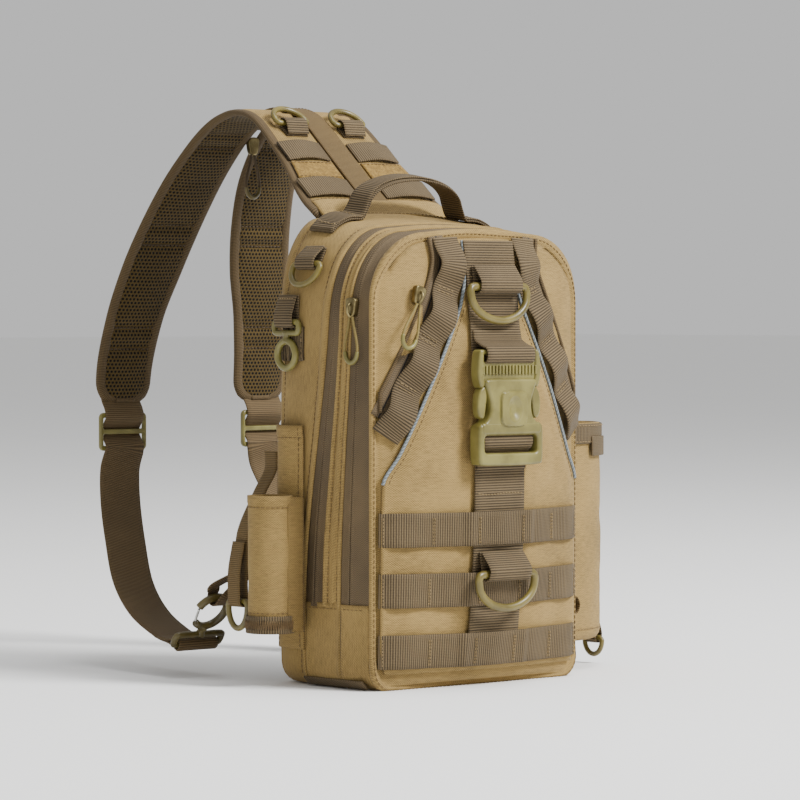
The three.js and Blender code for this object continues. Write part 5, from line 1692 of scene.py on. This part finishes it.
# sling webbing: through a slider, down in a curve and round its hook's bar
sling = dict(
    width=38, thick=1.6, slider=(72.5, 281, 181), sliderWidth=46, sliderHeight=30, sliderThick=3, bar=4,
    weave=((38, 1.07), (26, 1.07), (19, -0.3), (14, -1), (10.6, -1), (6.5, 0), (2.4, 1), (0, 1.05), (-2.4, 1),
           (-6.5, 0), (-10.6, -1), (-14, -1)),
    route=((77, 278.5, 150), (84, 269, 126), (93, 252, 98), (103, 229, 66), (110, 200, 44), (116, 163, 30),
           (118, 142, 25.5)),
)
slingHook = dict(place=(118, 134, 25), lean=36, frame=44, frameDepth=9, frameWire=2.6, neck=8, neckWire=3.6,
                 round=14, wire=3, openSweep=(-132, 160), closedSweep=(-90, 270))
gate = dict(start=218, stop=166.5, tipInset=1, wire=1.0)
anchor = dict(x=77, y=64.3, top=126, bend=104, width=10, clear=2.4)


def sidePlace(place, side):
    return mm(place[0] * side, place[1], place[2])


def makeSling(side, end):
    place = sidePlace(sling["slider"], side)
    gap = (sling["sliderHeight"] - 3 * sling["bar"]) / 2
    loops = [roundedLoop(0, 0, sling["sliderWidth"], sling["sliderHeight"], 4)]
    for way in (-1, 1):
        loops.append(roundedLoop(0, way * (gap + sling["bar"]) / 2, sling["width"] + 1.8, gap, 1.2, 3))
    plate = plateMesh(loops, sling["sliderThick"] + 0.6, 1.2, platePlace(place, xAxis, zAxis))
    mouldedPiece("strapSlider_" + end, [plate], olivePlastic, "strap_slider_" + end)
    over = sling["sliderThick"] / 2 + sling["thick"] / 2 + 0.5
    spots = [place + yAxis * out * over + zAxis * rise for rise, out in sling["weave"]]
    spots += [sidePlace(spot, side) for spot in sling["route"]]
    fold = slingHook["frameWire"] + tabSize["clear"] + sling["thick"] / 2
    x, y, z = slingHook["place"]
    spots += [mm(x * side, y - fold * s, z - fold * c) for c, s in halfTurn]
    spots += [mm(x * side, y + 12, z + fold - 1), mm(x * side - 2 * side, y + 26, z + fold)]
    webbingPiece("slingWebbing_" + end, curvePath(spots, 1.6), sling["width"], sling["thick"], xAxis,
                 strapWeb, "strap_web_" + end, columns=10)
    makeSlingHook(side, end)


def makeSlingHook(side, end):
    bar = sidePlace(slingHook["place"], side)
    lean = math.radians(slingHook["lean"])
    axis = mm(0, -math.sin(lean), math.cos(lean))
    sweep = slingHook["openSweep"] if side < 0 else slingHook["closedSweep"]
    makePiece("slingHook_" + end, hookMesh(slingHook, bar, xAxis, axis, sweep), darkOlive,
              "strap_hook_" + end)
    centreAt = slingHook["frameDepth"] + slingHook["neck"] + slingHook["round"]
    if side < 0:
        def spot(degrees, radius):
            a = math.radians(degrees)
            return bar + xAxis * radius * math.cos(a) + axis * (centreAt + radius * math.sin(a))
        tip = slingHook["round"] - gate["tipInset"]
        line = evenPath([spot(gate["start"], slingHook["round"]), spot(gate["stop"], tip)], 1.0)
        wirePiece("hookGate", line, gate["wire"], xAxis.cross(axis).normalized(), steel, "wire",
                  "hook_gate_left", "hook_gate", sides=12)
    makeAnchorTab(side, end, bar + axis * (centreAt + slingHook["round"]))


# webbing from the bag's back, round the hook's eye and back on itself
def makeAnchorTab(side, end, eye):
    thick = tabSize["thick"]
    x, y = anchor["x"], anchor["y"]
    fold = slingHook["wire"] + anchor["clear"] + thick / 2
    sewn = mm(side * (x + 2), y + 4, anchor["bend"] - 6)
    toBag = sewn - eye
    toBag.x = 0
    toBag.normalize()
    out = toBag.cross(xAxis).normalized()
    near = eye + toBag * 10 + out * fold
    spots = [mm(side * x, y, anchor["top"]), mm(side * x, y + 0.2, anchor["bend"]), sewn, near]
    spots += [eye - toBag * fold * s + out * fold * c for c, s in halfTurn]
    spots += [eye + toBag * 8 - out * fold, sewn.lerp(near, 0.6) - out * (thick + 2.0),
              sewn.lerp(near, 0.3) - out * (thick + 0.2)]
    webbingPiece("anchorTab_" + end, curvePath(spots, 1.2), anchor["width"], thick, xAxis, strapWeb,
                 "anchor_tab_" + end)


# cloth yoke that joins the straps to the top of the back
yoke = dict(half=66, taper=0.03, start=40, end=66, columns=40, rows=14, thick=1.6, off=0.9, strapOff=4.2,
            backLimit=56, droop=2.2, riseBand=(0.05, 1), soft=0.5)


def makeYoke():
    strapTop = min(strapFrames(1.5), key=lambda f: abs(f["p"].y - yoke["end"]))
    ridge = strapTop["p"] + strapTop["out"] * yoke["strapOff"]

    def spot(t, s):
        y = lerp(yoke["start"], ridge.y, t)
        x = yoke["half"] * s * (1 - yoke["taper"] * t)
        low = topHeight(x, min(y, yoke["backLimit"])) + yoke["off"]
        high = ridge.z - yoke["droop"] * s ** 8
        soft = yoke["soft"] * wobble((x, y, 0), 18, 21)
        return mm(x, y, lerp(low, high, smooth(t, *yoke["riseBand"])) + soft)

    rows = grid(spread(0, 1, yoke["rows"]), spread(-1, 1, yoke["columns"]), spot)
    sheetPiece("strapYoke", rows, yoke["thick"], coyote)
    for k in (1, -2):
        stitchLine("seams", [p + zAxis * 0.1 for p in rows[k]], zAxis)


makeBottlePocket()
makeYoke()
for sideSign, sideName in leftRight:
    makeStrap(sideSign, sideName)
    makeSling(sideSign, sideName)
makeStrapTrim()
print("straps ready")


# zip sliders: a moulded body on its tape and a bail that carries the cord
zipSlider = dict(
    width=9, thick=5, length=12.6, gap=0.4, nose=0.55, bail=1.0,
    # the bail, by distance above the eye and height over the slider's foot
    arch=((10, 4.6), (8, 7), (4, 7.4), (0.8, 5.6)),
)


def makeZipSlider(name, place):
    eye, across, down = Vector(place["eye"]), place["across"], place["down"]
    out = across.cross(down).normalized()
    foot = zipSlider["gap"] - place["seat"]
    half, tall = zipSlider["width"] / 2, zipSlider["length"] / 2
    spot = eye - down * (zipSlider["gap"] + tall) + out * (foot + zipSlider["thick"] / 2)
    nose = half * zipSlider["nose"]
    shape = [(-half, -tall), (half, -tall), (half, 1), (nose, tall), (-nose, tall), (-half, 1)]
    plate = plateMesh([curveLoop(shape, 0.9)], zipSlider["thick"], 0.9, platePlace(spot, across, down))
    arch = [eye - down * d + out * (foot + h) for d, h in zipSlider["arch"]] + [eye + down * 0.2 + out * 0.2]
    bail = wireMesh(curvePath(arch, 0.6), zipSlider["bail"], across, sides=10)
    mouldedPiece("zipSlider_" + name, [plate, bail], bronze, "zip_slider_" + name)


for pullName, pullPlace in pullPlaces.items():
    makeZipSlider(pullName, pullPlace)

# the quilting threads' dark cord also stands for the shadow in the quilt grooves: painted shadow
threadFinish = dict(seams=brownThread, zipSeams=brownThread, tacks=thread, quiltingAndShadow=darkCordAndPaintedShadow)
for groupName, groupRuns in threadRuns.items():
    makePiece("thread_" + groupName, joinMeshes(groupRuns), threadFinish[groupName])
print("threads ready")


# pale floor and soft studio light, in metres
studio = dict(
    floor=(0.93, 0.93, 0.92), floorShade=0.985, floorGloss=0.9, floorSize=30,
    world=(1, 1, 1), worldStrength=0.64,
    lights=(
        dict(name="key", place=(1.0, -2.6, 2.7), aim=(0, 0, 0.2), size=1.1, power=245),
        dict(name="fill", place=(-3.2, -0.6, 1.6), aim=(0, 0, 0.2), size=2.2, power=4),
        dict(name="top", place=(0.5, -0.2, 3.4), aim=(0, 0.1, 0.2), size=1.2, power=45),
    ),
)


def makeStudio():
    f = Finish("paleFloor")
    shade = [c * studio["floorShade"] for c in studio["floor"]]
    f.colour(f.mix(f.noise(2, 2), (*studio["floor"], 1), (*shade, 1)))
    f.gloss(studio["floorGloss"])
    size = studio["floorSize"]
    mesh = bpy.data.meshes.new("floor")
    corners = [(-size, -size, 0), (size, -size, 0), (size, size, 0), (-size, size, 0)]
    mesh.from_pydata(corners, [], [(0, 1, 2, 3)])
    mesh.materials.append(f.mat)
    floor = addObject("floor", mesh)
    world = bpy.data.worlds.new("studio")
    world.use_nodes = True
    sky = world.node_tree.nodes["Background"]
    sky.inputs[0].default_value = (*studio["world"], 1)
    sky.inputs[1].default_value = studio["worldStrength"]
    bpy.context.scene.world = world
    for light in studio["lights"]:
        data = bpy.data.lights.new(light["name"], "AREA")
        data.size = light["size"]
        data.energy = light["power"]
        lamp = addObject(light["name"], data)
        lamp.location = light["place"]
        toward = Vector(light["aim"]) - Vector(light["place"])
        lamp.rotation_euler = toward.to_track_quat("-Z", "Y").to_euler()


makeStudio()
